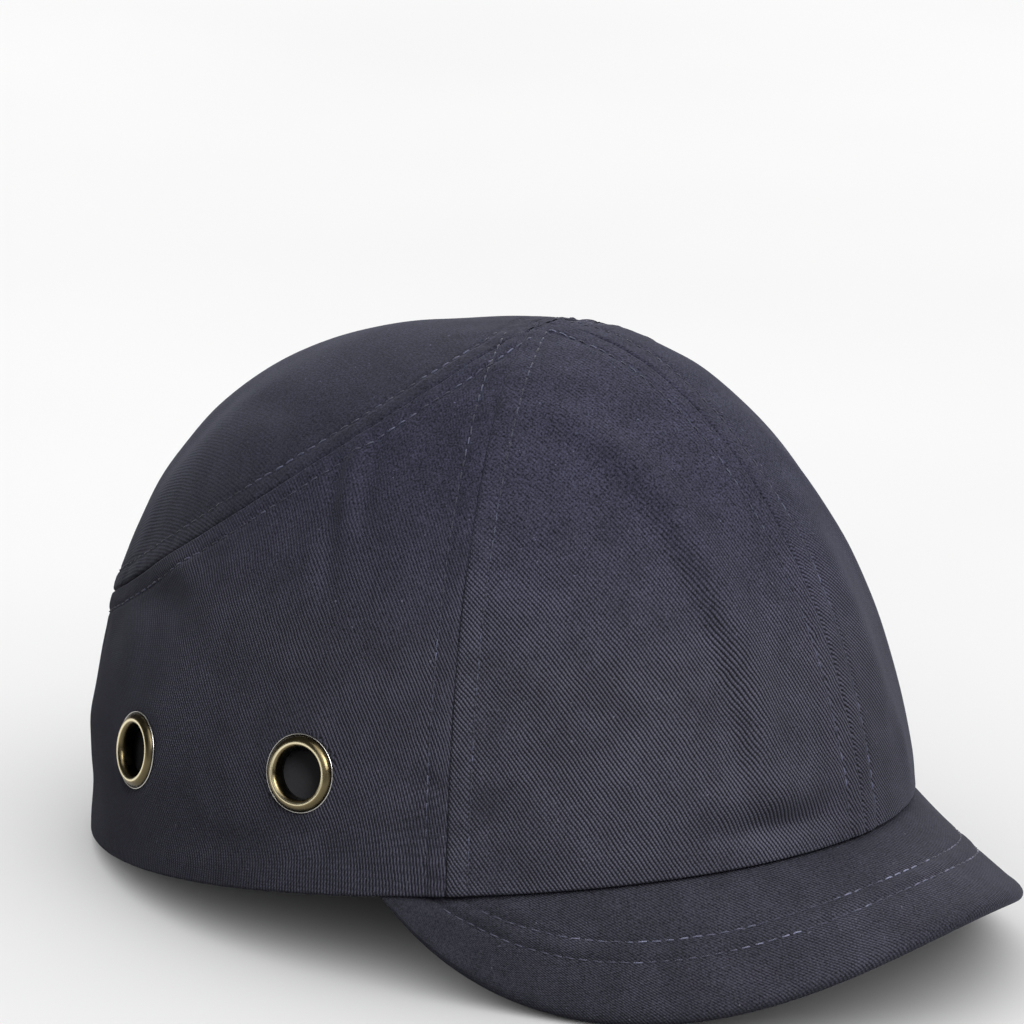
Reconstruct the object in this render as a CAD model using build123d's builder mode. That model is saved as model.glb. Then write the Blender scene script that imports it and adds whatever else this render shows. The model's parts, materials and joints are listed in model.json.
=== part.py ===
from build123d import *
from math import asin, atan2, cos, degrees, pi, radians, sin
import os

# A fabric bump cap with a short peak. It is modelled about its rim: the rim plane is z = 0,
# +X is forward, +Y is to the wearer's left, and angles round the crown are measured from the
# centre front, positive towards the wearer's right. All sizes are millimetres.

# Crown: the outer surface of the fabric
crown_width = 178.0
crown_length = 220.0
crown_height = 122.0
rim_front = 109.0  # centre front of the rim
widest_x = -10.0  # where the rim is widest
apex_x = 25.0  # where the seams meet, at the top
front_profile = (0.03, 2.25, 1.85)  # lean, bulge and closing of each outline, see taper()
rear_profile = (0.10, 3.2, 3.0)
side_profile = (0.095, 2.3, 1.9)
crown_levels = 12
level_crowding = 2.5  # packs the levels towards the apex
flat_share = 0.9997  # the crown ends in a small flat at this share of its height
fabric_thick = 1.0

# Seams on the wearer's right: each runs in the plane through three points
apex = (apex_x, 0.0, crown_height)
side_seam_points = (apex, (43.6, -57.0, 79.0), (44.0, -79.5, 0.0))
back_seam_points = (apex, (-16.0, -55.0, 91.0), (-84.0, -42.0, 59.0))
tape_width = 13.0
tape_thick = 0.6
tape_inset = 1.1
tape_top = 110.0

# Rear opening, closed below by the adjuster
arch_half = 38.0
arch_spring = 12.0  # height where the straight sides become an arch
arch_height = 46.0
binding_width = 8.0
binding_thick = 0.7

# Peak
peak_end = 71.4  # angle where the peak meets the rim
peak_depth = 36.0
peak_squareness = 4.8
peak_closing = 1.17
peak_slope = 25.8  # degrees below the rim plane at the centre
peak_side_slope = 76.3
peak_side_share = 0.9  # share of peak_end where the side slope is reached
peak_fan = 0.595  # how far the peak's lines fan out with the rim
peak_drop = 0.4  # below the fabric's lower edge
peak_inset = 1.0
cover_thick = 0.9
board_thick = 2.0
board_margin = 3.0
peak_sections = 8

# Hard shell and pads
shell_inset = 1.9
shell_thick = 1.8
shell_edge = ((112.0, 24.0), (62.0, 32.0), (12.0, 46.0), (-60.0, 53.0), (-114.0, 55.0))
vent_length = 20.0
vent_width = 6.0
vent_rows = {66.0: (24, 51, 78, 105, 132, 159), 94.0: (30, 66, 102, 138)}
pad_inset = 4.2
pad_thick = 5.0

# Sweatband
band_foot = 0.6
band_top = 34.0
band_inset = 5.6
band_thick = 1.2
band_flange_inset = 2.0
band_flange_top = 3.6
band_foam_inset = 4.1
band_foam_thick = 1.4
band_gap = 48.0  # half width left open at the back
label_size = (26.0, 18.0)
label_thick = 0.3

# Eyelets
eyelet_angles = {"front": 82.0, "rear": 115.0}
eyelet_height = 28.8
eyelet_bore = 6.25  # radius
eyelet_flange = 9.5  # radius
eyelet_wall = 0.4
eyelet_depth = 2.3

# Adjuster: a strap that folds round the bar of a slide loop
strap_height = 20.0
strap_mid = 15.0
strap_thick = 1.4
strap_inset = 2.0
strap_clear = 0.2
strap_bar = 14.0  # distance of the strap's bar from the middle of the opening
tab_bar = 27.0
bar_radius = 1.3
tail_length = 44.0
patch_margin = 3.0
patch_length = 30.0
loop_pile = 1.25
hook_pile = 1.3


def taper(share, lean, bulge, closing):
    """Reach of the crown at a share of its height, as a share of its reach at the rim."""
    return (1 - lean * share) * max(0.0, 1 - share**bulge) ** (1 / closing)


def crown_level(share, inset):
    """Middle x, front reach, rear reach and half width of the crown at a share of its height."""
    sides = taper(share, *side_profile)
    middle = apex_x + (widest_x - apex_x) * sides
    front = apex_x + (rim_front - inset - apex_x) * taper(share, *front_profile)
    rear_reach = crown_length - rim_front - inset + apex_x
    rear = apex_x - rear_reach * taper(share, *rear_profile)
    return middle, front - middle, middle - rear, (crown_width / 2 - inset) * sides


def crown_point(angle, height, inset=0.0):
    """A point on the surface that lies `inset` inside the outer fabric."""
    middle, front, rear, half = crown_level(max(0.0, height) / (crown_height - inset), inset)
    turn = radians(angle)
    reach = front if cos(turn) >= 0 else rear
    return Vector(middle + reach * cos(turn), -half * sin(turn), height)


def crown_plane(angle, height, inset=0.0):
    """A plane touching the crown: its z points outward and its y up the crown."""
    reach = 0.5
    along = crown_point(angle - reach, height, inset) - crown_point(angle + reach, height, inset)
    up = crown_point(angle, height + reach, inset) - crown_point(angle, height - reach, inset)
    return Plane(origin=crown_point(angle, height, inset), x_dir=along, z_dir=along.cross(up))


def crown_form(inset, foot=0.0):
    """Solid of the crown's form, `inset` inside the outer fabric, with a foot below the rim."""
    levels = []
    for step in range(crown_levels + 1):
        share = min(flat_share, 1 - (1 - step / crown_levels) ** level_crowding)
        middle, front, rear, half = crown_level(share, inset)
        with BuildSketch(Plane.XY.offset(share * (crown_height - inset))) as level:
            with BuildLine():
                EllipticalCenterArc((middle, 0), front, half, -90, arc_size=180)
                EllipticalCenterArc((middle, 0), rear, half, 90, arc_size=180)
            make_face()
        levels.append(level.sketch)
    with BuildPart() as form:
        loft(sections=levels)
        if foot:
            extrude(levels[0], amount=-foot)
    return form.part


def crown_layer(inset, thick):
    """An even layer of the crown, open at the rim."""
    with BuildPart() as layer:
        add(crown_form(inset))
        add(crown_form(inset + thick, foot=2.0), mode=Mode.SUBTRACT)
    return layer.part


def arch_outline(margin):
    """Outline of the rear opening in the YZ plane, grown by a margin."""
    half = arch_half + margin
    rise = arch_height - arch_spring + margin
    with BuildSketch(Plane.YZ) as outline:
        with BuildLine():
            EllipticalCenterArc((0, arch_spring), half, rise, 0, arc_size=180)
            Polyline((-half, arch_spring), (-half, -5), (half, -5), (half, arch_spring))
        make_face()
    return outline.sketch


def plane_through(points):
    first, second, third = (Vector(point) for point in points)
    return Plane(origin=first, z_dir=(second - first).cross(third - first))


side_seam = plane_through(side_seam_points)  # z side faces forward
back_seam = plane_through(back_seam_points)  # z side faces down
mirror_plane = Plane.XZ  # z side is the wearer's right
pieces = {}

# ---- Fabric crown ------------------------------------------------------------------------------

with BuildPart() as crown_fabric:
    add(crown_layer(0.0, fabric_thick))
    extrude(arch_outline(0.0), amount=-crown_length, mode=Mode.SUBTRACT)
    for angle in eyelet_angles.values():
        for side in (-1, 1):
            with BuildSketch(crown_plane(side * angle, eyelet_height)):
                Circle(eyelet_bore + eyelet_wall + 0.1)
            extrude(amount=4, both=True, mode=Mode.SUBTRACT)

with BuildPart() as front_panel_right:
    add(crown_fabric.part)
    split(bisect_by=side_seam, keep=Keep.TOP)
    split(bisect_by=mirror_plane, keep=Keep.TOP)

with BuildPart() as side_panel_right:
    add(crown_fabric.part)
    split(bisect_by=side_seam, keep=Keep.BOTTOM)
    split(bisect_by=mirror_plane, keep=Keep.TOP)
    split(bisect_by=back_seam, keep=Keep.TOP)

with BuildPart() as top_back_panel:
    add(crown_fabric.part)
    split(bisect_by=side_seam, keep=Keep.BOTTOM)
    split(bisect_by=mirror_plane, keep=Keep.TOP)
    split(bisect_by=back_seam, keep=Keep.BOTTOM)
    mirror(about=mirror_plane)

with BuildPart() as front_panel_left:
    mirror(front_panel_right.part, about=mirror_plane)

with BuildPart() as side_panel_left:
    mirror(side_panel_right.part, about=mirror_plane)

pieces["front_panel_right"] = front_panel_right
pieces["front_panel_left"] = front_panel_left
pieces["side_panel_right"] = side_panel_right
pieces["side_panel_left"] = side_panel_left
pieces["top_back_panel"] = top_back_panel

# ---- Tapes over the seams, inside the crown, and the lining strip round the rear opening --------

with BuildPart() as tape_stock:
    add(crown_layer(tape_inset, tape_thick))
    with BuildSketch(Plane.XY.offset(band_flange_top)):
        Rectangle(2 * crown_length, 2 * crown_width)
    extrude(amount=tape_top - band_flange_top, mode=Mode.INTERSECT)

with BuildPart() as seam_tape_front:
    add(tape_stock.part)
    with BuildSketch(Plane.YZ):
        with Locations((0, crown_height / 2)):
            Rectangle(tape_width, 2 * crown_height)
    extrude(amount=crown_length, mode=Mode.INTERSECT)

with BuildPart() as seam_tape_right:
    add(tape_stock.part)
    split(bisect_by=mirror_plane, keep=Keep.TOP)
    with BuildSketch(side_seam):
        Rectangle(3 * crown_length, 3 * crown_length)
    extrude(amount=tape_width / 2, both=True, mode=Mode.INTERSECT)

with BuildPart() as seam_tape_left:
    mirror(seam_tape_right.part, about=mirror_plane)

with BuildPart() as seam_tape_back:
    add(tape_stock.part)
    split(bisect_by=mirror_plane, keep=Keep.TOP)
    split(bisect_by=side_seam.offset(-tape_width / 2 - 1), keep=Keep.BOTTOM)
    with BuildSketch(back_seam):
        Rectangle(3 * crown_length, 3 * crown_length)
    extrude(amount=tape_width / 2, both=True, mode=Mode.INTERSECT)
    extrude(arch_outline(binding_width + 0.5), amount=-crown_length, mode=Mode.SUBTRACT)
    mirror(about=mirror_plane)

with BuildPart() as rear_arch_binding:
    add(crown_layer(tape_inset, binding_thick))
    extrude(arch_outline(binding_width), amount=-crown_length, mode=Mode.INTERSECT)
    extrude(arch_outline(0.0), amount=-crown_length, mode=Mode.SUBTRACT)

pieces["seam_tape_front"] = seam_tape_front
pieces["seam_tape_right"] = seam_tape_right
pieces["seam_tape_left"] = seam_tape_left
pieces["seam_tape_back"] = seam_tape_back
pieces["rear_arch_binding"] = rear_arch_binding

# ---- Peak: a board between two covers -----------------------------------------------------------

def peak_plane(angle):
    """Section plane of the peak at an angle: x runs out along the peak, y up out of it."""
    share = min(1.0, abs(angle) / peak_end / peak_side_share)
    slope = peak_slope + (peak_side_slope - peak_slope) * (1 - cos(pi * share)) / 2
    slope = radians(slope)
    fan = radians(angle) * peak_fan
    outward = Vector(cos(slope) * cos(fan), -cos(slope) * sin(fan), -sin(slope))
    along = crown_point(angle + 0.5, 0, peak_inset) - crown_point(angle - 0.5, 0, peak_inset)
    up = along.cross(outward).normalized()
    origin = crown_point(angle, 0, peak_inset) - Vector(0, 0, peak_drop)
    return Plane(origin=origin, x_dir=outward, z_dir=outward.cross(up))


def peak_reach(angle):
    """How far the peak stands out from the rim at an angle, measured along its surface."""
    return peak_depth * (1 - (abs(angle) / peak_end) ** peak_squareness) ** (1 / peak_closing)


def peak_angles(end_share):
    """Section angles from one end of the peak to the other, closer together near the ends."""
    for step in range(-peak_sections, peak_sections + 1):
        yield peak_end * sin(pi / 2 * end_share * step / peak_sections)


def peak_sheet(top, thick, margin, end_share):
    """One layer of the peak: `top` is its depth under the peak's upper surface."""
    with BuildPart() as sheet:
        for angle in peak_angles(end_share):
            width = peak_reach(angle) - margin
            with BuildSketch(peak_plane(angle)):
                with Locations((width / 2, -top - thick / 2)):
                    Rectangle(width, thick)
        loft()
    return sheet.part


peak_thick = 2 * cover_thick + board_thick + 0.2

with BuildPart() as peak_top_cover:
    add(peak_sheet(0.0, cover_thick, 0.0, 0.95))

with BuildPart() as peak_board:
    add(peak_sheet(cover_thick + 0.1, board_thick, board_margin, 0.8))

with BuildPart() as peak_under_cover:
    add(peak_sheet(peak_thick - cover_thick, cover_thick, 0.0, 0.95))

pieces["peak_top_cover"] = peak_top_cover
pieces["peak_board"] = peak_board
pieces["peak_under_cover"] = peak_under_cover

# ---- Hard shell with vents ----------------------------------------------------------------------

with BuildPart() as bump_shell:
    add(crown_layer(shell_inset, shell_thick))
    with BuildSketch(Plane.XZ):
        with BuildLine():
            edge = Spline(*shell_edge)
            roof = crown_height + 10
            Polyline(edge @ 1, (shell_edge[-1][0], roof), (shell_edge[0][0], roof), edge @ 0)
        make_face()
    extrude(amount=crown_width, both=True, mode=Mode.INTERSECT)
    for height, angles in vent_rows.items():
        for angle in (*angles, *(-angle for angle in angles)):
            with BuildSketch(crown_plane(angle, height, shell_inset)):
                SlotOverall(vent_length, vent_width)
            extrude(amount=8, both=True, mode=Mode.SUBTRACT)

pieces["bump_shell"] = bump_shell

# ---- Pads stuck inside the shell ----------------------------------------------------------------

with BuildPart() as pad_stock:
    add(crown_layer(pad_inset, pad_thick))

with BuildPart() as crown_pad:
    add(pad_stock.part)
    with BuildSketch(Plane.XY.offset(60)):
        Ellipse(60, 44)
        with PolarLocations(40, 4, start_angle=45):
            SlotOverall(26, 5, mode=Mode.SUBTRACT)
    extrude(amount=crown_height, mode=Mode.INTERSECT)

with BuildPart() as front_pad:
    add(pad_stock.part)
    with BuildSketch(Plane.YZ):
        with Locations((0, 62)):
            RectangleRounded(84, 38, 10)
    extrude(amount=crown_length, mode=Mode.INTERSECT)

with BuildPart() as rear_pad:
    add(pad_stock.part)
    with BuildSketch(Plane.YZ):
        with Locations((0, 72)):
            RectangleRounded(84, 26, 10)
    extrude(amount=-crown_length, mode=Mode.INTERSECT)

with BuildPart() as side_pad_right:
    add(pad_stock.part)
    with BuildSketch(Plane.XZ):
        with Locations((-8, 68)):
            RectangleRounded(92, 32, 12)
    extrude(amount=crown_width, mode=Mode.INTERSECT)

with BuildPart() as side_pad_left:
    mirror(side_pad_right.part, about=mirror_plane)

pieces["crown_pad"] = crown_pad
pieces["front_pad"] = front_pad
pieces["rear_pad"] = rear_pad
pieces["side_pad_right"] = side_pad_right
pieces["side_pad_left"] = side_pad_left

# ---- Sweatband: a facing turned out along its foot, with a foam strip behind it ------------------

def band_strip(inset, thick, foot, top, gap):
    """A strip of the crown between two heights, open at the back."""
    with BuildPart() as strip:
        add(crown_layer(inset, thick))
        with BuildSketch(Plane.XY.offset(foot)):
            Rectangle(2 * crown_length, 2 * crown_width)
        extrude(amount=top - foot, mode=Mode.INTERSECT)
        with BuildSketch(Plane.YZ):
            Rectangle(2 * gap, 3 * crown_height)
        extrude(amount=-crown_length, mode=Mode.SUBTRACT)
    return strip.part


with BuildPart() as sweatband:
    add(band_strip(band_inset, band_thick, band_foot, band_top, band_gap))
    flange_thick = band_inset + band_thick - band_flange_inset
    add(band_strip(band_flange_inset, flange_thick, band_foot, band_flange_top, band_gap))

with BuildPart() as sweatband_foam:
    foam_foot = band_flange_top + 0.2
    add(band_strip(band_foam_inset, band_foam_thick, foam_foot, band_top - 1, band_gap + 1))

with BuildPart() as care_label:
    add(crown_layer(band_inset + band_thick + 0.1, label_thick))
    with BuildSketch(Plane.XZ):
        with Locations((-58, 18)):
            Rectangle(*label_size)
    extrude(amount=-crown_width, mode=Mode.INTERSECT)

pieces["sweatband"] = sweatband
pieces["sweatband_foam"] = sweatband_foam
pieces["care_label"] = care_label

# ---- Eyelets and their washers ------------------------------------------------------------------

def section_plane(plane):
    """Plane that holds the axis of a ring lying in `plane`: its y is the ring's axis."""
    return Plane(origin=plane.origin, x_dir=plane.x_dir, z_dir=-plane.y_dir)


def eyelet(plane):
    """Rolled eyelet: a barrel through the fabric with a crested flange outside."""
    outer = eyelet_bore + eyelet_wall
    with BuildPart() as ring:
        with BuildSketch(section_plane(plane)):
            with BuildLine():
                Line((eyelet_bore, -eyelet_depth), (eyelet_bore, 0.8))
                ThreePointArc((eyelet_bore, 0.8), (6.65, 1.45), (7.5, 1.6))
                ThreePointArc((7.5, 1.6), (8.6, 1.25), (9.15, 0.6))
                ThreePointArc((9.15, 0.6), (eyelet_flange, 0.35), (9.3, 0.05))
                Polyline((9.3, 0.05), (outer, 0.05), (outer, -eyelet_depth), (eyelet_bore, -eyelet_depth))
            make_face()
        revolve(axis=Axis(plane.origin, plane.z_dir))
    return ring.part


def washer(plane):
    """Flat ring behind the fabric, held by the eyelet's barrel."""
    with BuildPart() as ring:
        with BuildSketch(section_plane(plane)):
            with Locations(((eyelet_flange + eyelet_bore) / 2 + 0.2, -1.75)):
                Rectangle(2.3, 0.5)
        revolve(axis=Axis(plane.origin, plane.z_dir))
    return ring.part


for place, angle in eyelet_angles.items():
    for hand, side in (("right", 1), ("left", -1)):
        seat = crown_plane(side * angle, eyelet_height)
        with BuildPart() as pieces[f"eyelet_{place}_{hand}"]:
            add(eyelet(seat))
        with BuildPart() as pieces[f"eyelet_washer_{place}_{hand}"]:
            add(washer(seat))

# ---- Adjuster -----------------------------------------------------------------------------------
# Its plane leans with the rear of the crown: local x runs to the wearer's left, local y outward
# and local z up, and the strap's outer face is at local y = 0.

arch_angle = 180 - degrees(asin(arch_half / (crown_width / 2)))
strap_low = crown_point(arch_angle, strap_mid - strap_height / 2, strap_inset)
strap_high = crown_point(arch_angle, strap_mid + strap_height / 2, strap_inset)
strap_seat = (strap_low + strap_high) * 0.5
rear_lean = atan2(strap_high.X - strap_low.X, strap_height)
adjuster = Plane(
    origin=(strap_seat.X, 0, strap_mid), x_dir=(0, 1, 0), z_dir=(sin(rear_lean), 0, cos(rear_lean))
)
side_run = ((-48.5, -8.8), (-33.0, 0.0))  # the strap's sewn end, inside the side panel
bar_out = bar_radius + strap_clear
tail_out = 2 * bar_out

with BuildPart() as adjuster_strap:
    with BuildSketch(adjuster):
        with BuildLine():
            run = FilletPolyline(*side_run, (strap_bar, 0), radius=14)
            offset(run, amount=strap_thick, side=Side.RIGHT)
        make_face()
    extrude(amount=strap_height / 2, both=True)

with BuildPart() as adjuster_tab:
    with BuildSketch(adjuster):
        with BuildLine():
            inner = FilletPolyline(*((-x, y) for x, y in side_run), (tab_bar, 0), radius=14)
            offset(inner, amount=strap_thick, side=Side.LEFT)
        make_face()
        with BuildLine():
            ThreePointArc((tab_bar, 0), (tab_bar - bar_out, bar_out), (tab_bar, tail_out))
            Line((tab_bar, tail_out), (tab_bar, tail_out + strap_thick))
            fold = bar_out + strap_thick
            ThreePointArc((tab_bar, tail_out + strap_thick), (tab_bar - fold, bar_out), (tab_bar, -strap_thick))
            Line((tab_bar, -strap_thick), (tab_bar, 0))
        make_face()
        with BuildLine():
            back = ((tab_bar, tail_out), (28.3, tail_out), (31.3, 0.2), (34.2, 0.2))
            Polyline(*back, *((x, y + strap_thick) for x, y in reversed(back)), close=True)
        make_face()
    extrude(amount=strap_height / 2, both=True)

with BuildPart() as slide_loop:
    window_length = tab_bar - strap_bar - 2 * bar_radius
    window_height = strap_height + 4 * strap_clear
    with BuildSketch(Plane(adjuster.location * Location((0, strap_clear, 0), (-90, 0, 0)))):
        with Locations(((tab_bar + strap_bar) / 2, 0)):
            RectangleRounded(window_length + 4 * bar_radius, window_height + 4 * bar_radius, 2.5)
            RectangleRounded(window_length, window_height, 0.8, mode=Mode.SUBTRACT)
    extrude(amount=2 * bar_radius)
    across = Axis(adjuster.origin, adjuster.y_dir)
    fillet(slide_loop.edges().filter_by(GeomType.LINE).filter_by(across, reverse=True), 0.9)

pieces["adjuster_strap"] = adjuster_strap
pieces["adjuster_tab"] = adjuster_tab
pieces["slide_loop"] = slide_loop

tail_end = strap_bar - tail_length

with BuildPart() as strap_tail:
    with BuildSketch(adjuster):
        with Locations(((strap_bar + tail_end) / 2, tail_out + strap_thick / 2)):
            Rectangle(tail_length, strap_thick)
    extrude(amount=strap_height / 2, both=True)
    fillet(strap_tail.edges().filter_by(Axis(adjuster.origin, adjuster.y_dir)).group_by(Axis.Y)[0], 6)

with BuildPart() as loop_patch:
    with BuildSketch(adjuster):
        with Locations((tail_end + patch_margin + patch_length / 2, loop_pile / 2)):
            Rectangle(patch_length, loop_pile)
    extrude(amount=strap_height / 2 - 1, both=True)

with BuildPart() as hook_patch:
    with BuildSketch(adjuster):
        with Locations((tail_end + patch_margin + patch_length / 2, tail_out - hook_pile / 2)):
            Rectangle(patch_length, hook_pile)
    extrude(amount=strap_height / 2 - 3, both=True)

pieces["strap_tail"] = strap_tail
pieces["loop_patch"] = loop_patch
pieces["hook_patch"] = hook_patch

# ---- Rest attitude ------------------------------------------------------------------------------
# On a flat surface the cap stands on the foot of its side panels, at the back, and on the drooping
# sides of its peak, so it is pitched nose up.


def peak_lip(angle):
    """Lowest point of the peak's outer edge at an angle."""
    section = peak_plane(angle)
    return section.origin + section.x_dir * peak_reach(angle) - section.y_dir * peak_thick


rear_foot = crown_point(arch_angle, 0)
lips = [peak_lip(angle) for angle in peak_angles(0.95)]
pitch = max(degrees(atan2(-lip.Z, lip.X - rear_foot.X)) for lip in lips)
tilted = Compound(children=[piece.part.moved(Location((0, 0, 0), (0, -pitch, 0))) for piece in pieces.values()])
box = tilted.bounding_box()
rest_attitude = Location((-box.center().X, 0, -box.min.Z), (0, -pitch, 0))

os.makedirs("parts", exist_ok=True)
for name, piece in pieces.items():
    piece.part.label = name
    placed = piece.part.moved(rest_attitude)
    placed.label = name
    export_step(placed, f"parts/{name}.step")

print(f"pitch {pitch:.3f} degrees, rim centre at {rest_attitude.position}")
for name, bar in (("tab bar", tab_bar), ("strap bar", strap_bar)):
    seat = Plane(adjuster.location * Location((bar, bar_out, 0)))
    seat = Plane(rest_attitude * seat.location)
    print(f"{name}: axis through {seat.origin}, direction {seat.z_dir}")
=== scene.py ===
"""Looks of a fabric bump cap with a short peak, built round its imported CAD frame.

Shapes are worked out in millimetres in the cap's own frame, where the rim plane is z = 0, +X is
forward, +Y is to the wearer's left, and angles round the crown run from the centre front, positive
towards the wearer's right. place() turns them into metres in the row frame.
"""
import json
import math
import random

import bmesh
import bpy
import numpy as np
from mathutils import Matrix, Vector, noise
from mathutils.bvhtree import BVHTree


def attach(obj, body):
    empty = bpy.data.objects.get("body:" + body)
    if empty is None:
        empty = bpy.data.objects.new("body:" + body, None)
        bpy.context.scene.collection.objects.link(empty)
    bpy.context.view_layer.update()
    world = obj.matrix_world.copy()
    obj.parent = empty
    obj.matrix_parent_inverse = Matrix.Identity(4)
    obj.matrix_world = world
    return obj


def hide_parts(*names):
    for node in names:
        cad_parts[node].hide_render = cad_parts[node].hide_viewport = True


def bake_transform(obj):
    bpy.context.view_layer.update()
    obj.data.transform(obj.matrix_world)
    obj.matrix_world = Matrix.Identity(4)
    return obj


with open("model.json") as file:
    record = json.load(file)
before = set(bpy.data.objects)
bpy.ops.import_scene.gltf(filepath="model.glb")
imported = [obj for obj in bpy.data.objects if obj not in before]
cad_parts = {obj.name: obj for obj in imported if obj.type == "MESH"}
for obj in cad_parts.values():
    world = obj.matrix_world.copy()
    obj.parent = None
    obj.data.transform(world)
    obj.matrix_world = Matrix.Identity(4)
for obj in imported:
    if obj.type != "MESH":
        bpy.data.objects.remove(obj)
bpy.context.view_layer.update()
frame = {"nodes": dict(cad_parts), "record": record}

# Crown, as in the CAD model
crown_width = 178.0
crown_length = 220.0
crown_height = 122.0
rim_front = 109.0
widest_x = -10.0
apex_x = 25.0
front_profile = (0.03, 2.25, 1.85)
rear_profile = (0.10, 3.2, 3.0)
side_profile = (0.095, 2.3, 1.9)
fabric_thick = 1.0
side_seam_points = ((apex_x, 0, crown_height), (43.6, -57.0, 79.0), (44.0, -79.5, 0))
back_seam_points = ((apex_x, 0, crown_height), (-16.0, -55.0, 91.0), (-84.0, -42.0, 59.0))
arch_half = 38.0
arch_spring = 12.0
arch_height = 46.0

# Peak, as in the CAD model
peak_end = 71.4
peak_depth = 36.0
peak_squareness = 4.8
peak_closing = 1.17
peak_slope = 25.8
peak_side_slope = 76.3
peak_side_share = 0.9
peak_fan = 0.595
peak_drop = 0.4
peak_inset = 1.0
peak_thick = 4.0

# Eyelets and adjuster, as in the CAD model
eyelet_angles = {"front": 82.0, "rear": 115.0}
eyelet_height = 28.8
strap_height = 20.0
strap_mid = 15.0
strap_thick = 1.4
strap_inset = 2.0
strap_bar = 14.0
tab_bar = 27.0
bar_out = 1.5
tail_end = -30.0

hands = (("right", 1), ("left", -1))

# Camera, in degrees and mm
camera_angles = (51.224, 10.949, -5.678)  # turn towards the cap's right, rise and roll
camera_distance = 1500.0
camera_lens = 213.7
camera_height = 60.0  # of the point above the rim plane that the view turns about
camera_shift = (7.6, 13.25)

# Sewing
stitch_radius = 0.2
seam_row = 5.3  # distance of each row of topstitching from its seam
seam_roll = 0.9
arch_row = 3.5  # distance of the stitching from the rear opening's edge
hem_thick = 1.8
far_side = 20.0  # points further than this along an eyelet's axis are on another side of the crown
eyelet_cut = 7.5  # radius of the hole in the fabric, which the eyelet's flange hides
chart_power = 0.4  # the crown's chart is even near the apex with this power of the depth below it
edge_steps = (0, 0.12, 0.3, 0.55, 0.9, 1.4, 2, 2.8, 3.6, 4.3, 4.8, 5.3, 5.8, 6.4, 7.2, 8.3, 9.5)
grid_step = 1.5


# ---- Frames ----

opening = next(mount for mount in frame["record"]["mounts"] if mount["name"] == "head_opening")
pitch = math.atan2(opening["axis"][0], -opening["axis"][2])
lean_cos, lean_sin = math.cos(pitch), math.sin(pitch)
rest_turn = np.array([[lean_cos, 0, -lean_sin], [0, 1, 0], [lean_sin, 0, lean_cos]])
mount_spot = np.array([-1.0, 0, 0])
rest_shift = 1000 * np.array(opening["pos_m"]) - rest_turn @ mount_spot


def place(points):
    """Points in the cap's frame and millimetres, as points in the row frame and metres."""
    return (np.asarray(points, float) @ rest_turn.T + rest_shift) / 1000


def unit(vectors):
    return vectors / np.maximum(1e-12, np.linalg.norm(vectors, axis=-1, keepdims=True))


def smooth(values, start, end):
    """0 before start and 1 after end, with a smooth step between."""
    share = np.clip((values - start) / (end - start), 0, 1)
    return share * share * (3 - 2 * share)


# ---- Crown form ----


def taper(share, lean, bulge, closing):
    return (1 - lean * share) * np.maximum(0, 1 - share**bulge) ** (1 / closing)


def crown_level(height, inset=0.0):
    """Middle x, front reach, rear reach and half width of the crown at a height."""
    share = np.clip(height / (crown_height - inset), 0, 1)
    sides = taper(share, *side_profile)
    middle = apex_x + (widest_x - apex_x) * sides
    front = apex_x + (rim_front - inset - apex_x) * taper(share, *front_profile)
    rear = apex_x - (crown_length - rim_front - inset + apex_x) * taper(share, *rear_profile)
    return middle, front - middle, middle - rear, (crown_width / 2 - inset) * sides


def crown_point(angle, height, inset=0.0):
    angle, height = np.broadcast_arrays(np.asarray(angle, float), np.asarray(height, float))
    middle, front, rear, half = crown_level(height, inset)
    turn = np.radians(angle)
    reach = np.where(np.cos(turn) >= 0, front, rear)
    return np.stack([middle + reach * np.cos(turn), -half * np.sin(turn), height], -1)


def within(points, inset=0.0):
    x, y, z = np.moveaxis(points, -1, 0)
    middle, front, rear, half = crown_level(z, inset)
    reach = np.maximum(1e-9, np.where(x >= middle, front, rear))
    return ((x - middle) / reach) ** 2 + (y / np.maximum(1e-9, half)) ** 2 < 1


def cast(starts, directions, inset=0.0):
    """Points where rays that start inside the crown's form leave it."""
    directions = unit(np.asarray(directions, float))
    near = np.zeros(len(starts))
    far = np.full(len(starts), 300.0)
    for _ in range(40):
        middle = (near + far) / 2
        inside = within(starts + directions * middle[:, None], inset)
        near = np.where(inside, middle, near)
        far = np.where(inside, far, middle)
    return starts + directions * near[:, None]


def to_chart(points):
    """Flat coordinates of crown points: the apex is their origin and the rim is at distance 1."""
    x, y, z = np.moveaxis(points, -1, 0)
    share = np.clip(z / crown_height, -1, 1 - 1e-9)
    middle, front, rear, half = crown_level(share * crown_height)
    along = (x - middle) / np.maximum(1e-9, np.where(x >= middle, front, rear))
    turn = np.arctan2(-y / np.maximum(1e-9, half), along)
    reach = (1 - share) ** chart_power
    return np.stack([reach * np.cos(turn), reach * np.sin(turn)], -1)


def from_chart(chart, inset=0.0):
    reach = np.linalg.norm(chart, axis=-1)
    share = 1 - reach ** (1 / chart_power)
    turn = np.arctan2(chart[..., 1], chart[..., 0])
    height = share * (crown_height - inset)
    middle, front, rear, half = crown_level(height, inset)
    along = np.where(np.cos(turn) >= 0, front, rear) * np.cos(turn)
    return np.stack([middle + along, -half * np.sin(turn), height], -1)


def chart_normal(chart):
    reach = 2e-3
    over = from_chart(chart + (reach, 0)) - from_chart(chart - (reach, 0))
    up = from_chart(chart + (0, reach)) - from_chart(chart - (0, reach))
    normal = unit(np.cross(over, up))
    outward = from_chart(chart) - (0, 0, crown_height / 4)
    return normal * np.where((normal * outward).sum(-1, keepdims=True) < 0, -1, 1)


def mirrored(points):
    return points * np.array([1, -1, 1])


# ---- Seam lines ----


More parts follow.
